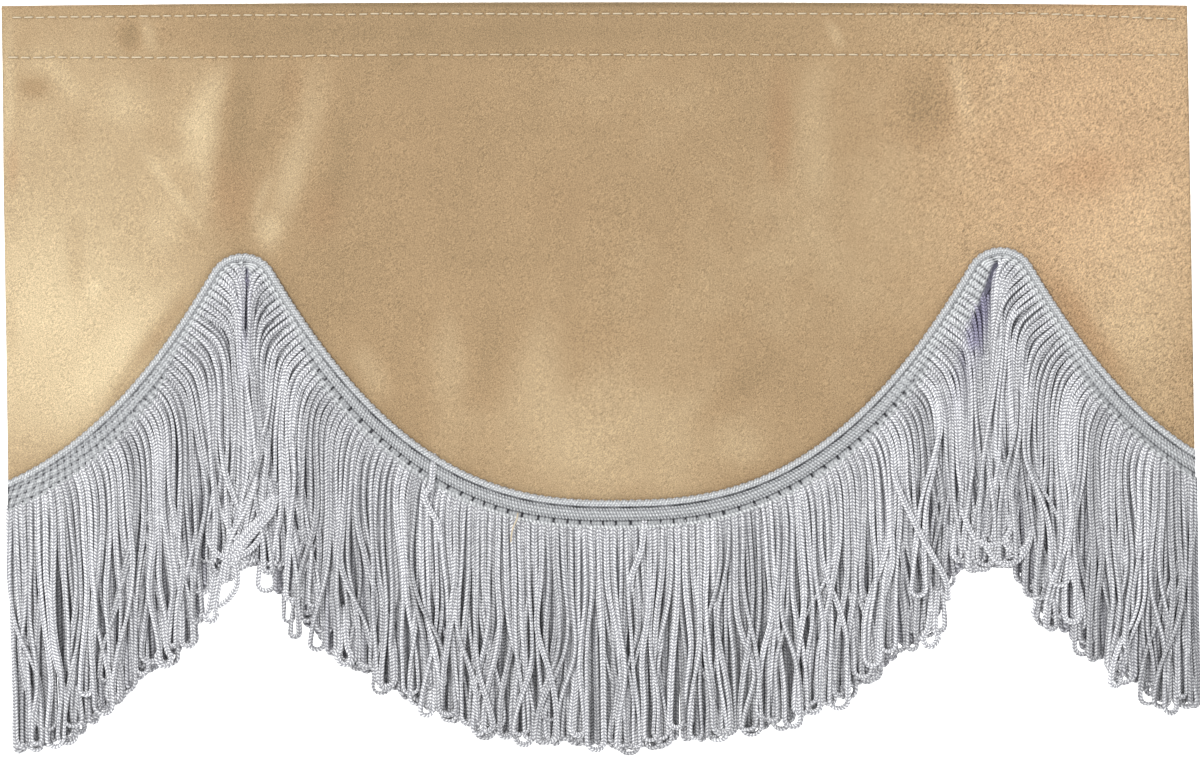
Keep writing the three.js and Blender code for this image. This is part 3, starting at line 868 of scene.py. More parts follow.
def knit_height(x, along, across, legs_past):
    """Height of the knit above the header's back, and how much painted shade darkens it, from 0 on a crest
    to 1 in a hole. Across the header come the round cord, rows of nubs, the open row with a slot to every
    SLOT_PITCH, and the last row. Cross ribs, one to each front loop leg, take their place by the shares of
    that place, and near the left side a coarse lattice of knots does."""
    open_row, upper_ribs, lower_ribs, lattice = (
        np.interp(x, KNIT["x"], KNIT[row]) for row in ("open_row", "upper_ribs", "lower_ribs", "lattice")
    )
    rib_turn = (legs_past - 0.5) / LAYER_COUNT
    rib = lobes(rib_turn, 0.55)
    from_rib = np.abs(rib_turn - np.round(rib_turn)) * 2
    rib_nub = lobes(across / 0.89 - 0.5 * from_rib, 1.2)
    uneven = 0.12 * np.sin(along * 0.83) + 0.1 * np.sin(along * 0.37 + 2)

    # The cord is half a circle in section, with slanting rows of small nubs
    cord_share = np.clip((across - CORD_WIDE / 2) / (CORD_WIDE / 2), -1, 1)
    cord_nub = lobes(along / NUB + across * 0.6, 0.8) * lobes((across - 0.1) / 0.74, 0.5)
    cord = (
        0.6 + 1.05 * np.sqrt(1 - cord_share**2) + 0.3 * cord_nub,
        0.86 * (1 - cord_nub) - 0.12 + 0.2 * np.abs(cord_share) ** 4,
    )

    # From the cord to the open row: rows of nubs along the header, or ribs across it
    row_end = open_row - 0.62
    share = np.clip((across - CORD_WIDE) / (row_end - CORD_WIDE), 0, 1)
    rows = np.round((row_end - CORD_WIDE) / ROW)
    row_nub = lobes(along / NUB - across * 0.45, 1.2) * lobes(share * rows - 0.5, 0.8)
    crown = np.sin(math.pi * share) ** 0.5
    long_rows = (0.72 + 0.5 * crown + 0.36 * row_nub, 0.78 * (1 - row_nub) + 0.4 * (1 - crown))
    slit = (1 - rib) ** 3 * lobes((across - open_row) / 4.4, 2)
    cross_rows = (
        0.75 + 0.5 * rib + 0.26 * rib_nub - 0.35 * slit,
        0.66 * (1 - rib_nub) + 0.45 * (1 - rib) ** 2 + 0.4 * slit,
    )
    upper = blend(long_rows, cross_rows, upper_ribs)

    # The last row, or the heads of the loops, which thin out to the lower edge
    last_nub = lobes(along / (NUB * 1.15) - across * 0.3, 0.7)
    last_nub = last_nub * lobes((across - open_row - 1.15) / 1.5, 0.5)
    last_row = (0.85 + 0.62 * last_nub, 0.8 * (1 - last_nub))
    thinned = 1 - 0.6 * smooth_rise(across, HEADER_WIDTH - 2.2, HEADER_WIDTH - 0.3)
    heads = ((0.62 + 0.62 * rib + 0.2 * rib_nub) * thinned, 0.55 * (1 - rib_nub) + 0.6 * (1 - rib))
    lower = blend(last_row, heads, lower_ribs)

    to_upper = smooth_rise(across, CORD_WIDE - 0.2, CORD_WIDE + 0.2)
    to_lower = smooth_rise(across, open_row - 0.2, open_row + 0.4)
    height, hollow_shade = (
        one * (1 - to_upper) + two * to_upper * (1 - to_lower) + three * to_lower
        for one, two, three in zip(cord, upper, lower)
    )

    # The open row is low and painted in shade, with thin bars between its slots, which are painted darkest
    slot_turn = along / SLOT_PITCH + 0.2 * np.sin(along * 0.21)
    slot_away = np.abs(slot_turn - np.round(slot_turn)) * SLOT_PITCH
    slot = ring_hump(slot_away, 0.3) * ring_hump(across - open_row, 0.62)
    slot = slot * (1 - 0.8 * upper_ribs) * (1 - 0.6 * smooth_rise(x, 138, 156))
    open_part = ring_hump(across - open_row, 0.55) * (1 - 0.75 * upper_ribs)
    bar_nub = lobes(along / NUB + 0.3, 0.8)
    height = height * (1 - open_part) + (0.52 + 0.16 * bar_nub) * open_part - 0.5 * slot
    hollow_shade = hollow_shade * (1 - open_part) + (0.75 - 0.3 * bar_nub) * open_part + 1.0 * slot

    # The lattice: knots in slanting rows, with holes between them, painted dark as shade
    knot = lobes(along / 2.3 + across / 4.4, 0.8) * lobes(across / 2.2 + 0.1 * np.sin(along * 1.7), 0.8)
    knot_nub = lobes(along / 0.8 + across * 0.7, 0.8) * lobes(across / 0.8 - along * 0.3, 0.8)
    hole = lobes(along / 2.3 + across / 4.4 + 0.5, 6) * lobes(across / 2.2 + 0.5, 6)
    knots = (0.6 + 0.75 * knot + 0.25 * knot_nub, 0.5 * (1 - knot_nub) + 0.3 * (1 - knot) + 0.9 * hole)
    height, hollow_shade = blend((height, hollow_shade), knots, lattice * smooth_rise(across, 1.4, 2.6))

    # A groove runs under the cord, and a deeper one along the very top of each cusp; both are also painted
    # dark as shade
    groove = ring_hump(across - CORD_WIDE - 0.05, 0.2, 2) * (1 - 0.9 * upper_ribs)
    groove = groove * (0.55 + 2.5 * uneven)
    groove = groove + 1.5 * np.exp(-(((across - 4.2) / 0.3) ** 2) - (from_cusp(x) / 2.2) ** 4)
    return height * (1 + uneven * 0.4) - 0.2 * groove, np.clip(hollow_shade + 0.4 * groove, 0, 1.3)


# The band is one ring of points carried along the edge: up its back, over the cord, down its front
head_along = np.linspace(0, run_along[-1], int(run_along[-1] / HEADER_STEP) + 1)
head_x = np.interp(head_along, run_along, run_x)[:, None]
head_legs = np.interp(head_along, run_along, run_legs)[:, None]
band_across = np.concatenate([
    [0.3, 0.0], np.linspace(0.12, CORD_WIDE, 8)[:-1], np.linspace(CORD_WIDE, HEADER_WIDTH, 29),
    [HEADER_WIDTH, HEADER_WIDTH - BACK_TURN, BACK_MIDDLE],
])
share_out = np.ones(len(band_across))
share_out[:2] = [0.0, 0.45]
share_out[-3:] = [0.3, 0, 0]
bump = lobes(head_along / CORD_BUMP, 0.6)[:, None] - 0.4
ring_across = band_across - CORD_WAVE * bump * np.exp(-((band_across / 1.1) ** 2))
ring_x, ring_z = header_point(head_x, ring_across)
full, hollow_shade = knit_height(head_x, head_along[:, None], ring_across, head_legs)

# Towards the fold of its cusp the knit dives in, and is painted in shade, tinted lavender
crease_x, crease_wide, _ = cusp_crease(head_x, ring_z)
over = (ring_x - crease_x) * -np.sign(from_cusp(head_x)) + crease_wide / 2
near_cusp = (np.abs(from_cusp(head_x)) < FLAP_FAR) * smooth_rise(ring_across, 4.0, 5.6)
dive = smooth_rise(over, -1.1, 0.5) * near_cusp
full = np.maximum(full * (1 - 0.92 * dive), THINNEST)
hollow_shade = hollow_shade * (1 - dive) + 0.8 * dive
last_fall = 1 - LAST_FALL * smooth_rise(ring_across, HEADER_WIDTH - 0.7, HEADER_WIDTH)
ring_y = front_face(ring_x, ring_z) - HEADER_GAP - full * last_fall * share_out
band_rings = np.stack([ring_x, ring_y, ring_z], -1)[None]
band_faces, (_, band_section, band_point) = carried(band_rings)
band_uv = np.stack([np.append(band_across, band_across[0])[band_point], head_along[band_section]], -1)


def knit_material():
    """Bright filament yarn, knitted. The colour falls from white on the crests of the knit to painted shade
    in its holes, by the attribute of painted shade that the band keeps, and fine slanting filaments break it
    up, in millimetres across and along. Inside the folds the painted shade is tinted lavender by a second
    attribute."""
    material, add, feed_shader = new_material("header_knit", {"Roughness": 0.45, "Specular IOR Level": 0.5})
    lay = add("UVMap", {}, uv_map="lay").outputs["UV"]
    slope = add("Mapping", {"Vector": lay, "Rotation": (0, 0, math.radians(28))}).outputs["Vector"]
    stretch = add("Mapping", {"Vector": slope, "Scale": (1.2, 2.6, 1)}).outputs["Vector"]
    filament = add("TexNoise", {"Vector": stretch, "Scale": 1, "Detail": 2}, noise_dimensions="2D")
    filament = filament.outputs["Fac"]
    broken = calculated(add, "MULTIPLY_ADD", filament, 0.8, marked(add, "hollow_shade"))
    # White on the crests, falling to painted shade and nearly black in the holes
    shade = shaded(add, calculated(add, "MULTIPLY", broken, 0.64), [
        (0.18, (0.93, 0.94, 0.93, 1)), (0.45, (0.52, 0.53, 0.53, 1)),
        (0.74, (0.23, 0.235, 0.24, 1)), (0.98, (0.02, 0.02, 0.025, 1)),
    ])
    # Painted shade in the folds tints the colour lavender
    feed_shader({
        "Base Color": tinted(add, shade, marked(add, "violet_shade"), VIOLET_SHADE),
        "Normal": raised(add, filament, 0.5, 0.0002),
    })
    return material


band_points = band_rings.reshape(-1, 3)
header_band = make_piece("header_band", band_points, band_faces, [knit_material()], uv=band_uv)
# The painted shade of the knit's holes, slots, grooves and folds
mark_points(header_band, "hollow_shade", hollow_shade)
# Where the knit dives into a fold it is painted in lavender shade
mark_points(header_band, "violet_shade", dive)
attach(header_band, "root")
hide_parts("fringe")


# The loops. Each is one length of knitted chainette yarn that leaves the header, hangs, turns in a U and
# goes back up beside itself. They hang in four layers, bunch and cross, and end a little unevenly. The
# front and the middle layer stray, and the two at the back hang nearly straight and close the gaps.
LEG_STATIONS = 43
TURN_STATIONS = 7
YARN_WIDE = 0.93
BACK_YARN_WIDE = 1.0
YARN_THICK = 0.56
# The layers, in the order of their legs along the header: their names, how far behind the front one they
# hang and how far behind it they start, how far they stray, whether they are plain, and how dark the painted
# shade on them is and how lavender, for hanging behind the front one
LAYERS = {
    "name": ["front", "back_one", "middle", "back_two"],
    "behind": [0, 2.1, 1.05, 2.7],
    "root": [0, 0.8, 0.3, 1.1],
    "stray": [1.0, 0.12, 0.85, 0.12],
    "plain": [False, True, False, True],
    "tone_and_shade": [1.0, 0.76, 0.86, 0.7],
    "violet_shade": [0, 0.22, 0.04, 0.28],
}
HEAD_PROUD = 1.25
USUAL_DROP = 70
BEND_LENGTH = 10
BEND_SHARE = 0.8
BEND_LEAST = 0.5
STRAIGHT_SHARE = 0.5
TUCK_DEPTH = 2.4
NEAR_CUSP = 30
SETTLING = 9
# Pushing apart: the rounds, how many neighbours on each side, how near they may come, how much more a gap
# from front to back counts, and in each round the part of the way that is gone sideways and in depth
PUSH_ROUNDS = 50
PUSH_REACH = 15
APART = 1.3
DEPTH_COUNTS = 1.12
PLAIN_SIDEWAYS = 0.12
LOOSE_SIDEWAYS = 0.36
PUSH_DEPTH = 0.75
SMOOTHING = 0.25
BACK_SIDEWAYS = 0.05
BACK_DEPTH = 0.03
# Waves along the fringe: their length, how far they sway and how they drift on the way down
SHARED_WAVES = [(53, 1.0, 0.015), (31, 0.8, 0.03)]
LAYER_WAVES = [(19, 1.7, 0.06), (12.5, 1.9, -0.07), (8.3, 1.4, 0.09)]
# Waves down a leg: their length and how far they sway
WANDER_WAVES = [(90, 1.8), (45, 1.3), (26, 0.7)]
WANDER = 0.6
DEPTH_WAVES = [60, 33]
DEPTH_SWAY = 0.45
DEPTH_UNEVEN = 0.5
# How far a loop drifts aside, and what part of the loops slants each way
DRIFT = 2.3
SLANT_SHARES = [0.88, 0.06, 0.06]
SLANT_LEAST = 3.5
SLANT_MOST = 8
# How wide the loops are at their feet, and in what part of them the legs cross
PLAIN_LOOP_WIDE = (1.9, 2.4)
LOOSE_LOOP_WIDE = (2.4, 6.0)
CROSSED_SHARE = 0.35
CLOSING = (18, 42)
TURN_LEAST = 1.6
TURN_PULL = 0.66
# How a yarn twists, and how uneven it is in width and in tone
TWIST_ENDS = 0.42
TWIST_WAVES = 0.8
TWIST_PLAIN = 0.2
WIDE_UNEVEN = 0.04
TONE_UNEVEN = 0.11
TONE_LEAST = 0.76
TONE_MOST = 1.2
# Round the cusps the front legs show as the ribs of the header, from just under its cord
LEG_START = {
    "x": [-190, -144, -130, -92, -80, 92, 104, 142, 156, 190],
    "across": [7.2, 7.2, 2.3, 2.3, 7.2, 7.2, 2.4, 2.4, 7.2, 7.2],
}
# The line along which the loops end
LOOP_ENDS = {
    "x": [-190, -180, -161.5, -153.8, -147.7, -138.5, -130, -126, -122.5, -118.5, -111, -103, -99, -92.3,
          -83.1, -69.2, -55.4, -40, -24.6, -12.3, 6.2, 18.5, 36.9, 55.4, 70.8, 76.9, 86.2, 92.3, 100,
          104, 107, 112.3, 123.1, 126.5, 129, 133.8, 144.6, 150.8, 156.9, 166.2, 173.8, 190],
    "z": [-233, -231, -224.5, -218, -214, -206, -199, -194, -180, -175, -172, -172.5, -179, -187,
          -199, -208.5, -216, -221.5, -226, -227.5, -229.5, -228.3, -225, -222, -216, -211.5, -204, -199.4,
          -194, -186, -177, -174.5, -171.5, -172, -177, -184, -194.8, -200.9, -205.5, -210.2, -214.8, -219],
}
# Some loops fall short of that line, the loose ones by more than the plain ones
SHORT_USUAL = 2.0
SHORT_MOST = 12
SHORT_TIMES = [0, 1, 2.4]
SHORT_SHARES = [0.4, 0.42, 0.18]
SHORT_PLAIN = 0.25
SHORT_LOOSE = 0.85
END_UNEVEN = 0.55
END_ABOVE = 1.3
rng = np.random.default_rng(5)


def of_layer(key, numbers):
    """This value of each leg's or loop's own layer."""
    return np.array(LAYERS[key])[numbers]


# Where each leg leaves the header. The front ones round the cusps run down over it as its ribs.
number = np.arange(leg_count)
layer = number % LAYER_COUNT
root_edge = np.interp(number + 0.5, run_legs, run_x)
root_reach = rib_end(root_edge)
root_lean = flap_angle(root_edge)
end_x, end_z = header_point(root_edge, root_reach)
leg_start = np.minimum(np.interp(root_edge, LEG_START["x"], LEG_START["across"]), root_reach)
leg_start = np.where(layer == 0, leg_start, root_reach)
root_x, root_z = header_point(root_edge, leg_start)
on_header = root_reach - leg_start
cusp_away = from_cusp(root_edge)

# The two legs of each loop are neighbours in their own layer
in_layer = number // LAYER_COUNT
side_of_loop = in_layer % 2
loop_number = (in_layer // 2) * LAYER_COUNT + layer
loop_count = leg_count // 2
loop_layer = np.zeros(loop_count, int)
loop_layer[loop_number] = layer
plain_back = of_layer("plain", loop_layer)

# How far each leg runs on in line with its rib, and in how much more it bends to hang straight down. Near a
# cusp it has only the room up to the fold.
sine = np.sin(root_lean)
steep = np.abs(sine) + 0.05
crease_x, _, _ = cusp_crease(root_edge, end_z)
room = np.abs(end_x - crease_x) + 0.3
reach = BEND_LENGTH * steep**1.3
reach = np.where(np.abs(cusp_away) < NEAR_CUSP, np.minimum(reach, BEND_SHARE * room / steep), reach)
reach = np.maximum(reach, BEND_LEAST)
straight = STRAIGHT_SHARE * reach + on_header
bend = reach * (1 - STRAIGHT_SHARE)
reach = straight + bend
hang_x = root_x + sine * reach

# Where each loop ends
ends = np.interp(hang_x + SIDE_LEAN * USUAL_DROP, LOOP_ENDS["x"], LOOP_ENDS["z"])
loop_end = np.zeros(loop_count)
np.add.at(loop_end, loop_number, ends / 2)
short = rng.exponential(SHORT_USUAL, loop_count) * rng.choice(SHORT_TIMES, loop_count, p=SHORT_SHARES)
short = np.minimum(short, SHORT_MOST) * np.where(plain_back, SHORT_PLAIN, SHORT_LOOSE)
loop_end = loop_end + short + rng.normal(0, END_UNEVEN, loop_count) + END_ABOVE

# The plain course of each leg, in LEG_STATIONS places at equal lengths
share = np.linspace(0, 1, LEG_STATIONS)[None, :]
length = (root_z - loop_end[loop_number] + (1 - np.cos(root_lean)) * reach)[:, None]
down = share * length
under = down - on_header[:, None]
in_line = np.minimum(down, straight[:, None])
turned = in_line + bend[:, None] * (1 - np.exp(-(down - in_line) / bend[:, None]))
leg_z = root_z[:, None] - down + (1 - np.cos(root_lean))[:, None] * turned
leg_x = root_x[:, None] + sine[:, None] * turned + SIDE_LEAN * down


def waves(position, grow, rows):
    """Sum of sine waves along the fringe, each row a wave length, a reach and a drift with the depth."""
    total = np.zeros(np.broadcast(position, grow).shape)
    for wave_length, reach, step in rows:
        start = rng.uniform(0, 2 * math.pi)
        total += reach * np.sin(2 * math.pi * position / wave_length + start + down * step)
    return total * grow


def swaying(wave_length):
    """A sine wave down each leg, each with its own start."""
    start = rng.uniform(0, 2 * math.pi, (leg_count, 1))
    return np.sin(2 * math.pi * down / wave_length + start)


# How the legs stray sideways: slow waves that all share, waves of each layer, each leg's own sway, loops
# that drift aside as a whole, and a few that slant across the rest
grown = smooth_rise(share, 0.08, 0.95)
late = smooth_rise(share, 0.3, 1.0)
stray = of_layer("stray", layer)[:, None]
calm = stray < 0.5
place = hang_x[:, None]
shared = waves(place, grown, SHARED_WAVES) * np.where(calm, 0.25, 1)
own = np.zeros(leg_x.shape)
for one_layer in range(LAYER_COUNT):
    own += waves(place, grown, LAYER_WAVES) * (layer == one_layer)[:, None]
wander = np.zeros(leg_x.shape)
for wave_length, reach in WANDER_WAVES:
    sway = swaying(wave_length)
    wander += reach * rng.normal(0, WANDER, (leg_count, 1)) * sway
loop_drift = rng.normal(0, DRIFT, loop_count)[loop_number][:, None] * late
slanting = rng.choice([0, -1, 1], loop_count, p=SLANT_SHARES) * ~plain_back
slant_from = rng.uniform(0.1, 0.6, loop_count)[loop_number][:, None]
slant = (slanting * rng.uniform(SLANT_LEAST, SLANT_MOST, loop_count))[loop_number][:, None]
slant = slant * smooth_rise(share, slant_from, slant_from + 0.5)
target_x = leg_x + shared + stray * (own + wander * grown + loop_drift) + slant

# Near its end each loop closes to its own width, and in some the two legs cross
loop_x = np.zeros(loop_count)
np.add.at(loop_x, loop_number, target_x[:, -1] / 2)
plain_wide = rng.uniform(*PLAIN_LOOP_WIDE, loop_count)
loose_wide = rng.uniform(*LOOSE_LOOP_WIDE, loop_count)
spread_wide = np.where(plain_back, plain_wide, loose_wide)
crossed = (rng.random(loop_count) < CROSSED_SHARE) * ~plain_back
way = (side_of_loop * 2 - 1) * np.where(crossed, -1, 1)[loop_number]
spread_x = loop_x[loop_number] + way * spread_wide[loop_number] / 2
near_end = smooth_rise(down, length - rng.uniform(*CLOSING, loop_count)[loop_number][:, None], length)
target_x += near_end * (spread_x[:, None] - target_x)
target_x[:, :2] = leg_x[:, :2]

# Each layer starts within the header's thickness and comes to its own depth a little lower down
settled = smooth_rise(under, 0, SETTLING)
depth = of_layer("root", layer)[:, None] * (1 - settled) + of_layer("behind", layer)[:, None] * settled
covered = 1 - np.interp(root_edge, KNIT["x"], KNIT["lower_ribs"])[:, None]
hidden = np.where(on_header > 1, 1.4, 2.6)[:, None]
emerge = (0.95 + 0.3 * covered) * (1 - smooth_rise(down, 0, hidden)) + 0.4 * (1 - smooth_rise(under, 2, 13))
target_y = (front_face(root_x, root_z) - HEADER_GAP - HEAD_PROUD)[:, None] + depth + emerge
target_y = target_y + (root_reach < ROOT_ACROSS - 0.05)[:, None] * 0.9 * (1 - settled)
target_y = target_y + rng.normal(0, DEPTH_UNEVEN, (leg_count, 1)) * grown
for wave_length in DEPTH_WAVES:
    target_y += DEPTH_SWAY * grown * swaying(wave_length)
target_y += near_end * way[:, None] * 0.3 - 0.12 * np.abs(slant)

# The fold at each cusp keeps the front and the middle legs to their own sides of it. At the right cusp the
# left band is tucked in behind that fold, so its legs run on under it.
fold_x, fold_wide, fold_share = cusp_crease(root_edge[:, None], leg_z)
fold_side = np.sign(cusp_away)[:, None]
fold_room = fold_wide / 2 + 0.8
tucked = ((root_edge > VALLEY_X) & (root_edge < VALLEY_X + HALF_PITCH))[:, None]
held_apart = (np.abs(cusp_away) < 40)[:, None] & (fold_share < 1.05) & ~calm & ~tucked
past_fold = smooth_rise(leg_x, fold_x - fold_wide / 2 - 1.6, fold_x - fold_wide / 2 + 0.4)
tuck = TUCK_DEPTH * past_fold * (1 - smooth_rise(fold_share, 0.9, 1.6)) * (tucked & (fold_share > -0.3))
target_y = target_y + tuck * (np.abs(cusp_away) < NEAR_CUSP)[:, None]


def push_apart(now_x, now_y):
    """One round of pushing. Each leg is compared, at its own heights, with each of its neighbours along the
    header, and where two are nearer than APART each moves half of what is missing away from the other."""
    move_x = np.zeros(now_x.shape)
    move_y = np.zeros(now_y.shape)
    for step in [*range(-PUSH_REACH, 0), *range(1, PUSH_REACH + 1)]:
        mine = slice(max(0, -step), leg_count - max(0, step))
        other = slice(max(0, step), leg_count - max(0, -step))
        run = leg_z[other, :1] - leg_z[other, -1:]
        level = (leg_z[other, :1] - leg_z[mine]) / run * (LEG_STATIONS - 1)
        met = (level > -0.6) & (level < LEG_STATIONS - 0.4)
        level = np.clip(np.round(level), 0, LEG_STATIONS - 1).astype(int)
        away_x = now_x[mine] - np.take_along_axis(now_x[other], level, 1)
        away_y = now_y[mine] - np.take_along_axis(now_y[other], level, 1)
        apart = np.hypot(away_x, away_y * DEPTH_COUNTS) + 1e-6
        missing = np.clip(APART - apart, 0, None) / apart * 0.5 * met
        move_x[mine] += away_x * missing
        move_y[mine] += away_y * missing
    return move_x, move_y


# After each round the legs are smoothed a little, drawn back towards their course and kept off the folds
now_x = target_x.copy()
now_y = target_y.copy()
free = smooth_rise(under, 0.5, 7)
sideways = np.where(calm, PLAIN_SIDEWAYS, LOOSE_SIDEWAYS)
for _ in range(PUSH_ROUNDS):
    move_x, move_y = push_apart(now_x, now_y)
    now_x += sideways * free * move_x
    now_y += PUSH_DEPTH * free * move_y
    for line in (now_x, now_y):
        line[:, 1:-1] += SMOOTHING * (line[:, :-2] + line[:, 2:] - 2 * line[:, 1:-1])
    now_x += BACK_SIDEWAYS * (target_x - now_x)
    now_y += BACK_DEPTH * (target_y - now_y)
    beyond = fold_x + fold_side * np.maximum(fold_side * (now_x - fold_x), fold_room)
    now_x = np.where(held_apart, beyond, now_x)
    now_x[:, :2] = leg_x[:, :2]
    now_y[:, :2] = target_y[:, :2]
legs_placed = np.stack([now_x, now_y, leg_z], -1)


def u_turns(start, end, start_run, end_run):
    """The turn at the foot of each loop: a cubic that leaves one leg along its run and joins the other
    against its run, as deep as a half circle between them."""
    gap = np.linalg.norm(end - start, axis=-1)
    pull = (np.maximum(gap, TURN_LEAST) * TURN_PULL)[:, None, None]
    t = np.linspace(0, 1, TURN_STATIONS + 2)[None, 1:-1, None]
    p0 = start[:, None]
    p3 = end[:, None]
    p1 = p0 + start_run[:, None] * pull
    p2 = p3 + end_run[:, None] * pull
    return (1 - t) ** 3 * p0 + 3 * (1 - t) ** 2 * t * p1 + 3 * (1 - t) * t**2 * p2 + t**3 * p3


# Each loop is one line: down its first leg, round the turn and up its second
leg_of = np.zeros((2, loop_count), int)
leg_of[side_of_loop, loop_number] = number
one, two = legs_placed[leg_of]
foot_one = one[:, -1]
foot_two = two[:, -1]
turns_round = u_turns(foot_one, foot_two, unit(foot_one - one[:, -4]), unit(foot_two - two[:, -4]))
loop_lines = np.concatenate([one, turns_round, two[:, ::-1]], 1)
loop_lengths = length_along(loop_lines)
whole = loop_lines.shape[1]

# The flat yarn faces the front at the header and lies in the plane of its turn at the foot, and it twists
between = foot_two - foot_one
to_foot = 1 - np.abs(np.linspace(-1, 1, whole))
plane_turn = np.arctan2(between[:, 1], between[:, 0])[:, None] * smooth_rise(to_foot, 0.45, 0.97)[None, :]
span = np.linspace(0, 1, whole)[None, :]
twist_start = rng.normal(0, TWIST_ENDS, (loop_count, 1))
twist = twist_start * (1 - span) + rng.normal(0, TWIST_ENDS, (loop_count, 1)) * span
for turns in (1, 2, 3, 5):
    turning = rng.normal(0, TWIST_WAVES / turns**0.5, (loop_count, 1))
    twist = twist + turning * np.sin(turns * math.pi * span)
twist = (twist * np.where(plain_back, TWIST_PLAIN, 1)[:, None])[..., None]
look = np.stack([np.sin(plane_turn), -np.cos(plane_turn), np.zeros(plane_turn.shape)], -1)
across, facing = frames(loop_lines, look)
turned_across = across * np.cos(twist) + facing * np.sin(twist)
turned_facing = facing * np.cos(twist) - across * np.sin(twist)

# A chainette yarn's section: its edges, its shoulders and the groove along its middle
YARN_SECTION = np.array([
    [1, 0], [0.66, 0.95], [0, 0.78], [-0.66, 0.95], [-1, 0], [-0.66, -0.95], [0, -0.78], [0.66, -0.95],
])
wides = rng.normal(1, WIDE_UNEVEN, (loop_count, whole))
wides = np.where(plain_back, BACK_YARN_WIDE, YARN_WIDE)[:, None] * wides
wides = (wides[:, [0, *range(whole - 1)]] + wides + wides[:, [*range(1, whole), whole - 1]]) / 3
thicks = np.full(wides.shape, YARN_THICK)
loop_rings = tubes(loop_lines, turned_across, turned_facing, wides, thicks, YARN_SECTION)
# Each loop is a little lighter or darker at random, and the layers behind are painted darker as shade
loop_tone_and_shade = np.clip(rng.normal(1, TONE_UNEVEN, loop_count), TONE_LEAST, TONE_MOST)
loop_tone_and_shade = loop_tone_and_shade * of_layer("tone_and_shade", loop_layer)

# Deep in the fold of each cusp the white yarn is painted in lavender shade, and so are the back layers near
# a cusp
line_x, line_y, line_z = np.moveaxis(loop_lines, -1, 0)
fold_x, fold_wide, fold_share = cusp_crease(line_x, line_z)
fold_deep = smooth_rise(line_y - fold_depth(line_x, line_z) + CLOTH + HEADER_GAP + HEAD_PROUD, -0.2, 1.2)
loop_violet_shade = np.exp(-((np.abs(line_x - fold_x) / (fold_wide / 2 + 1.3)) ** 4))
loop_violet_shade = loop_violet_shade * smooth_rise(fold_share, -0.15, 0.1) * (1 - smooth_rise(fold_share, 0.9, 2.2))
loop_violet_shade = loop_violet_shade * (0.25 + 0.75 * fold_deep)
near_cusps = np.exp(-((from_cusp(line_x) / 38) ** 2))
loop_violet_shade = np.maximum(loop_violet_shade, of_layer("violet_shade", loop_layer)[:, None] * near_cusps)


def chainette_material():
    """Knitted tube of bright filament: on each face of the flat yarn two columns of slanting stitches meet
    in a row of Vs, a millimetre each, white on their crests, with painted shade between them, along the
    middle groove and at the edges. The layout runs once round the yarn from 0 to 1, and along it in
    millimetres. The lightness attribute makes one length of yarn a little lighter or darker than the next,
    and also paints shade on the layers behind."""
    material, add, feed_shader = new_material("chainette", {"Roughness": 0.4, "Specular IOR Level": 0.5})
    lay = add("UVMap", {}, uv_map="lay").outputs["UV"]
    layout = add("SeparateXYZ", {"Vector": lay}).outputs
    column = calculated(add, "FRACT", calculated(add, "MULTIPLY", layout["X"], 2))
    from_middle = calculated(add, "ABSOLUTE", calculated(add, "SUBTRACT", column, 0.5))
    from_middle = calculated(add, "MULTIPLY", from_middle, 2)
    stitch = calculated(add, "ADD", layout["Y"], calculated(add, "MULTIPLY", from_middle, 0.7))
    wave = calculated(add, "SINE", calculated(add, "MULTIPLY", stitch, 2 * math.pi))
    lobe = calculated(add, "MULTIPLY_ADD", wave, 0.5, 0.5)
    groove = calculated(add, "MULTIPLY", from_middle, calculated(add, "SUBTRACT", 1.06, from_middle))
    groove = calculated(add, "MINIMUM", calculated(add, "MULTIPLY", groove, 4.6), 1)
    height = calculated(add, "MULTIPLY", lobe, groove)
    place = add("TexCoord", {}).outputs["Object"]
    filament = add("TexNoise", {"Vector": place, "Scale": 950, "Detail": 1}).outputs["Fac"]
    broken = calculated(add, "MULTIPLY_ADD", calculated(add, "SUBTRACT", filament, 0.5), 0.8, height)
    # White on the stitch crests, painted shade between the stitches and in the grooves
    shade = shaded(add, broken, [
        (0.02, (0.24, 0.24, 0.255, 1)), (0.42, (0.49, 0.49, 0.505, 1)), (0.85, (0.88, 0.88, 0.88, 1)),
    ])
    toned = lit(add, shade, marked(add, "tone_and_shade"))
    # Painted shade in the cusp folds and on the layers behind tints the colour lavender
    feed_shader({
        "Base Color": tinted(add, toned, marked(add, "violet_shade"), VIOLET_SHADE),
        "Normal": raised(add, height, 0.7, 0.0003),
    })
    return material


def yarn_piece(name, rings, lengths, tone_and_shade, violet_shade):
    """Yarns as tubes, laid out round and along, with the lightness of each station, which holds painted
    shade or painted light as well as its own, and the lavender tint of its painted shade.
    """
    faces, (path, station, point) = carried(rings)
    lay = np.stack([point / len(YARN_SECTION), lengths[path, station]], -1)
    piece = make_piece(name, rings.reshape(-1, 3), faces, [chainette], uv=lay)
    mark_points(piece, "tone_and_shade", np.repeat(tone_and_shade, len(YARN_SECTION), 1))
    mark_points(piece, "violet_shade", np.repeat(violet_shade, len(YARN_SECTION), 1))
    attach(piece, "root")
    return piece


# The legs of the plain layers behind need only every other station
chainette = chainette_material()
back_stations = np.concatenate([
    np.arange(0, LEG_STATIONS - 1, 2), np.arange(LEG_STATIONS - 1, whole - LEG_STATIONS + 1),
    np.arange(whole - LEG_STATIONS + 2, whole, 2),
])
for layer_number, layer_name in enumerate(LAYERS["name"]):
    kept = back_stations if LAYERS["plain"][layer_number] else np.arange(whole)
    chosen = np.flatnonzero(loop_layer == layer_number)[:, None]
    loops = yarn_piece(
        "loops_" + layer_name, loop_rings[chosen, kept], loop_lengths[chosen, kept],
        loop_tone_and_shade[chosen] * np.ones(len(kept)), loop_violet_shade[chosen, kept],
    )
    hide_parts("fringe")
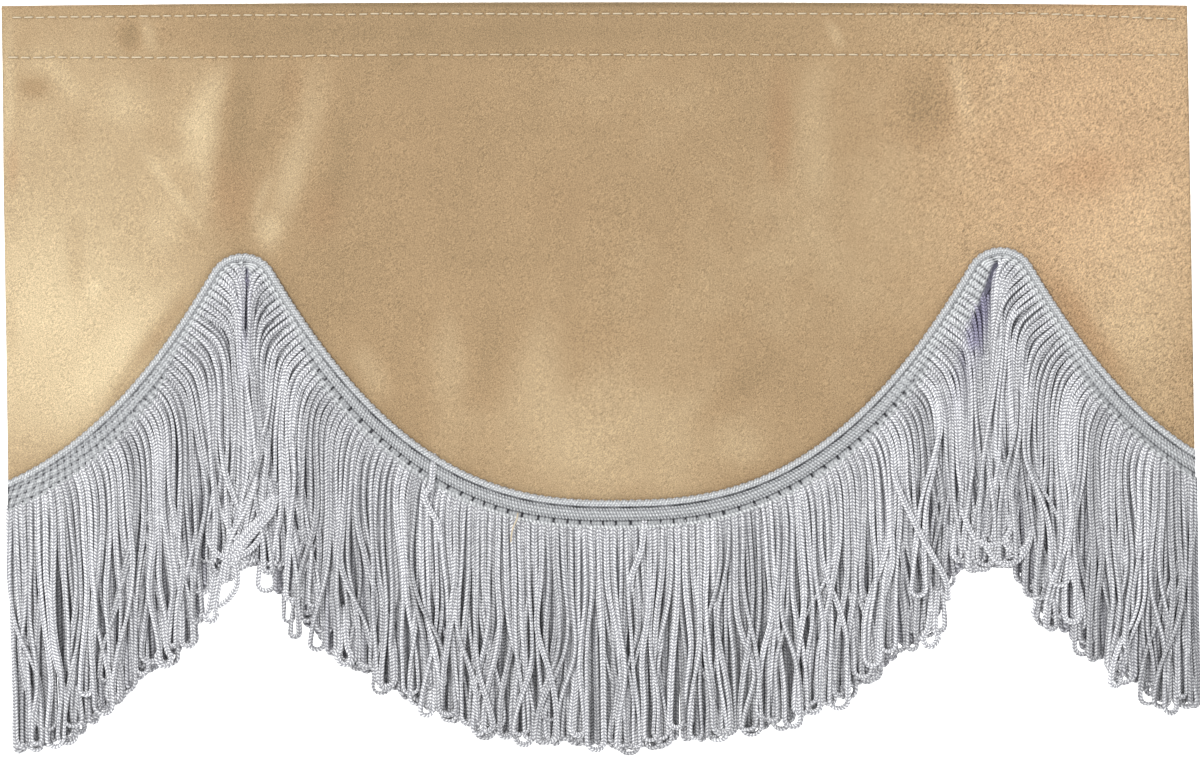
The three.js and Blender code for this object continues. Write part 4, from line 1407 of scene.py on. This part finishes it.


# The stray yarns. Here and there a loop has slipped out of line: some end in an open ring, one was cut and
# curls away, some lie slanting over the rest. Each route is given as points: how far right, how far out in
# front of the header's back, and how high.
RINGS = [
    {"x": -133.8, "z": -201.5, "wide": 4.4, "tall": 5.2, "lean": 0.10},
    {"x": -119.4, "z": -188.4, "wide": 3.2, "tall": 4.0, "lean": -0.15},
    {"x": -78.5, "z": -200.9, "wide": 4.2, "tall": 5.6, "lean": 0.05},
    {"x": 101.5, "z": -195.4, "wide": 4.6, "tall": 5.4, "lean": -0.10},
    {"x": 135.4, "z": -187.7, "wide": 4.4, "tall": 5.4, "lean": 0.12},
]
STRAY_ROUTES = [
    [(-111.2, -1.5, -158), (-111.0, 0.8, -165), (-112, 1.5, -171), (-111.2, 1.5, -176.3),
     (-111.9, 1.4, -180.4), (-114.5, 1.2, -184), (-117.5, 1, -185.8)],
    [(121.5, -1.5, -156), (123.1, 1.2, -163), (125, 1.7, -167.4), (128, 1.8, -168.8), (131, 1.6, -167),
     (132.3, 1.1, -163), (133, -1.5, -156)],
    [(13.8, -1.4, -158), (12.9, 1.2, -167.1), (11.4, 1.4, -172), (9.8, 1.2, -176.3), (9.2, -1.4, -185)],
    [(-51.2, -1.4, -139), (-51.7, 1.1, -148), (-53.8, 1.3, -152), (-51.6, 1.3, -157), (-49.4, 1, -161),
     (-49, -1.4, -169)],
    [(-121, -1.4, -160), (-119.4, 1, -167), (-115, 1.6, -171), (-109, 1.7, -169.5), (-104.5, 1.4, -165),
     (-102.5, -1.4, -158)],
    [(-116, -1.4, -152), (-114.5, 1.2, -160), (-111, 1.8, -165.5), (-106.5, 1.8, -163.5), (-104, 1.2, -157),
     (-103.5, -1.4, -150)],
    [(111, -1.4, -152), (112.5, 1.2, -160), (117, 1.8, -166.5), (123, 1.9, -166), (127, 1.6, -160),
     (128.5, -1.4, -152)],
    [(116, -1.4, -158), (117.5, 1.3, -165), (121, 1.9, -171), (126.5, 1.9, -172.5), (131, 1.5, -168),
     (133.5, -1.4, -160)],
    [(90, -1.4, -138), (90.8, 1.2, -147), (96, 1.6, -159), (102, 1.5, -170), (106.2, 1, -177.8),
     (107, -1.4, -184)],
]
BUNDLE_ROUTE = [(-101.5, -1.4, -149), (-102.2, 1.2, -157.5), (-106.5, 1.7, -163), (-110.2, 1.6, -167.4),
                (-113.2, 1.2, -172.3), (-114.4, -1, -179)]
# The bundle's yarns lie side by side along one route, each further right, higher and in turn further out
BUNDLE_YARNS = 4
BUNDLE_START = -2
BUNDLE_RIGHT = 1.3
BUNDLE_OUT = 0.25
BUNDLE_UP = 0.5
# An open ring: the angles of the points round it, and half the way between its two ends above it
RING_ANGLES = [125, 180, 235, 270, 305, 360, 415]
RING_NECK = 0.9
RING_OUT = 0.9
STRAY_STATIONS = 61
# The stray yarns lie in front of the rest and are painted a little lighter, as painted light
STRAY_TONE_AND_LIGHT = 1.1
TAIL_ROUTE = [(-25.2, 0.2, -157.1), (-25.5, 1.5, -159), (-26.8, 1.7, -162), (-27.4, 1.4, -166)]


def smooth_route(points, count):
    """A curve through all the points: on each stretch the cubic that leaves and reaches its ends along the
    line between the points on either side of them."""
    points = np.array(points, float)
    ahead = np.concatenate([points, 2 * points[-1:] - points[-2:-1]])
    behind = np.concatenate([2 * points[:1] - points[1:2], points])
    run = (ahead[1:] - behind[:-1]) / 2
    place = np.linspace(0, len(points) - 1 - 1e-6, count)
    start = place.astype(int)
    t = (place - start)[:, None]
    leave = (2 * t**3 - 3 * t**2 + 1) * points[start] + (t**3 - 2 * t**2 + t) * run[start]
    reach = (3 * t**2 - 2 * t**3) * points[start + 1] + (t**3 - t**2) * run[start + 1]
    return leave + reach


def ring_route(row):
    """Down beside itself, round an open ring and back up: points on the ring by angle, and two above it."""
    angles = np.radians(RING_ANGLES)
    round_x = row["wide"] / 2 * np.cos(angles)
    round_z = row["tall"] / 2 * np.sin(angles)
    x = row["x"] + np.concatenate([[-RING_NECK, -RING_NECK], round_x, [RING_NECK, RING_NECK]])
    out = np.concatenate([[-1.5, 0.5], np.full(len(angles), RING_OUT), [0.6, -1.5]])
    z = row["z"] + np.concatenate([[15, 6], round_z, [6, 15.5]])
    return np.stack([x + row["lean"] * (row["z"] - z), out, z], -1)


def in_front(routes):
    """Turns how far each point lies out in front of the header into its place from front to back."""
    x, out, z = np.moveaxis(routes, -1, 0)
    return np.stack([x, fold_depth(x, z) - CLOTH - HEADER_GAP - HEAD_PROUD - out, z], -1)


bundle = [
    [
        (x + BUNDLE_RIGHT * yarn + BUNDLE_START, out + BUNDLE_OUT * (yarn % 2), z + BUNDLE_UP * yarn)
        for x, out, z in BUNDLE_ROUTE
    ]
    for yarn in range(BUNDLE_YARNS)
]
stray_list = [ring_route(row) for row in RINGS] + STRAY_ROUTES + bundle
stray_lines = in_front(np.stack([smooth_route(route, STRAY_STATIONS) for route in stray_list]))
across, facing = frames(stray_lines, np.broadcast_to([0.0, -1.0, 0.0], stray_lines.shape))
stray_wide = np.full(stray_lines.shape[:2], YARN_WIDE)
stray_thick = stray_wide * YARN_THICK / YARN_WIDE
stray_rings = tubes(stray_lines, across, facing, stray_wide, stray_thick, YARN_SECTION)
yarn_piece(
    "stray_yarns", stray_rings, length_along(stray_lines),
    np.full(stray_wide.shape, STRAY_TONE_AND_LIGHT), np.zeros(stray_wide.shape),
)


# The header's thread. Two rows of stitches hold the header to the cloth. On the front they sink into the
# knit, on the back they lie on the cloth, and one end was left hanging below the header.
HEADER_ROWS = [3.0, 6.4]
HEADER_STITCH = 2.6
HEADER_STITCH_PITCH = 3.4
HEADER_END = 2


def cloth_behind(x, z):
    """The back of the cloth, behind the header."""
    return fold_depth(x, z) - TURN_INSIDE


stitch_at = np.arange(HEADER_END, run_along[-1] - HEADER_END, HEADER_STITCH_PITCH)
stitch_edge = np.interp(stitch_at, run_along, run_x)
stitch_length = np.full(len(stitch_at), HEADER_STITCH)
header_stitches = []
for row_across in HEADER_ROWS:
    stitch_x, stitch_z = header_point(stitch_edge, np.full(len(stitch_edge), row_across))
    header_stitches.append(stitches(
        stitch_x, stitch_z, stitch_length, edge_angle(stitch_edge), cloth_behind, 1,
    ))
header_stitches.append(in_front(smooth_route(TAIL_ROUTE, STITCH_STATIONS)[None]))
header_thread = thread_piece("header_thread", np.concatenate(header_stitches), 1.0, 6)
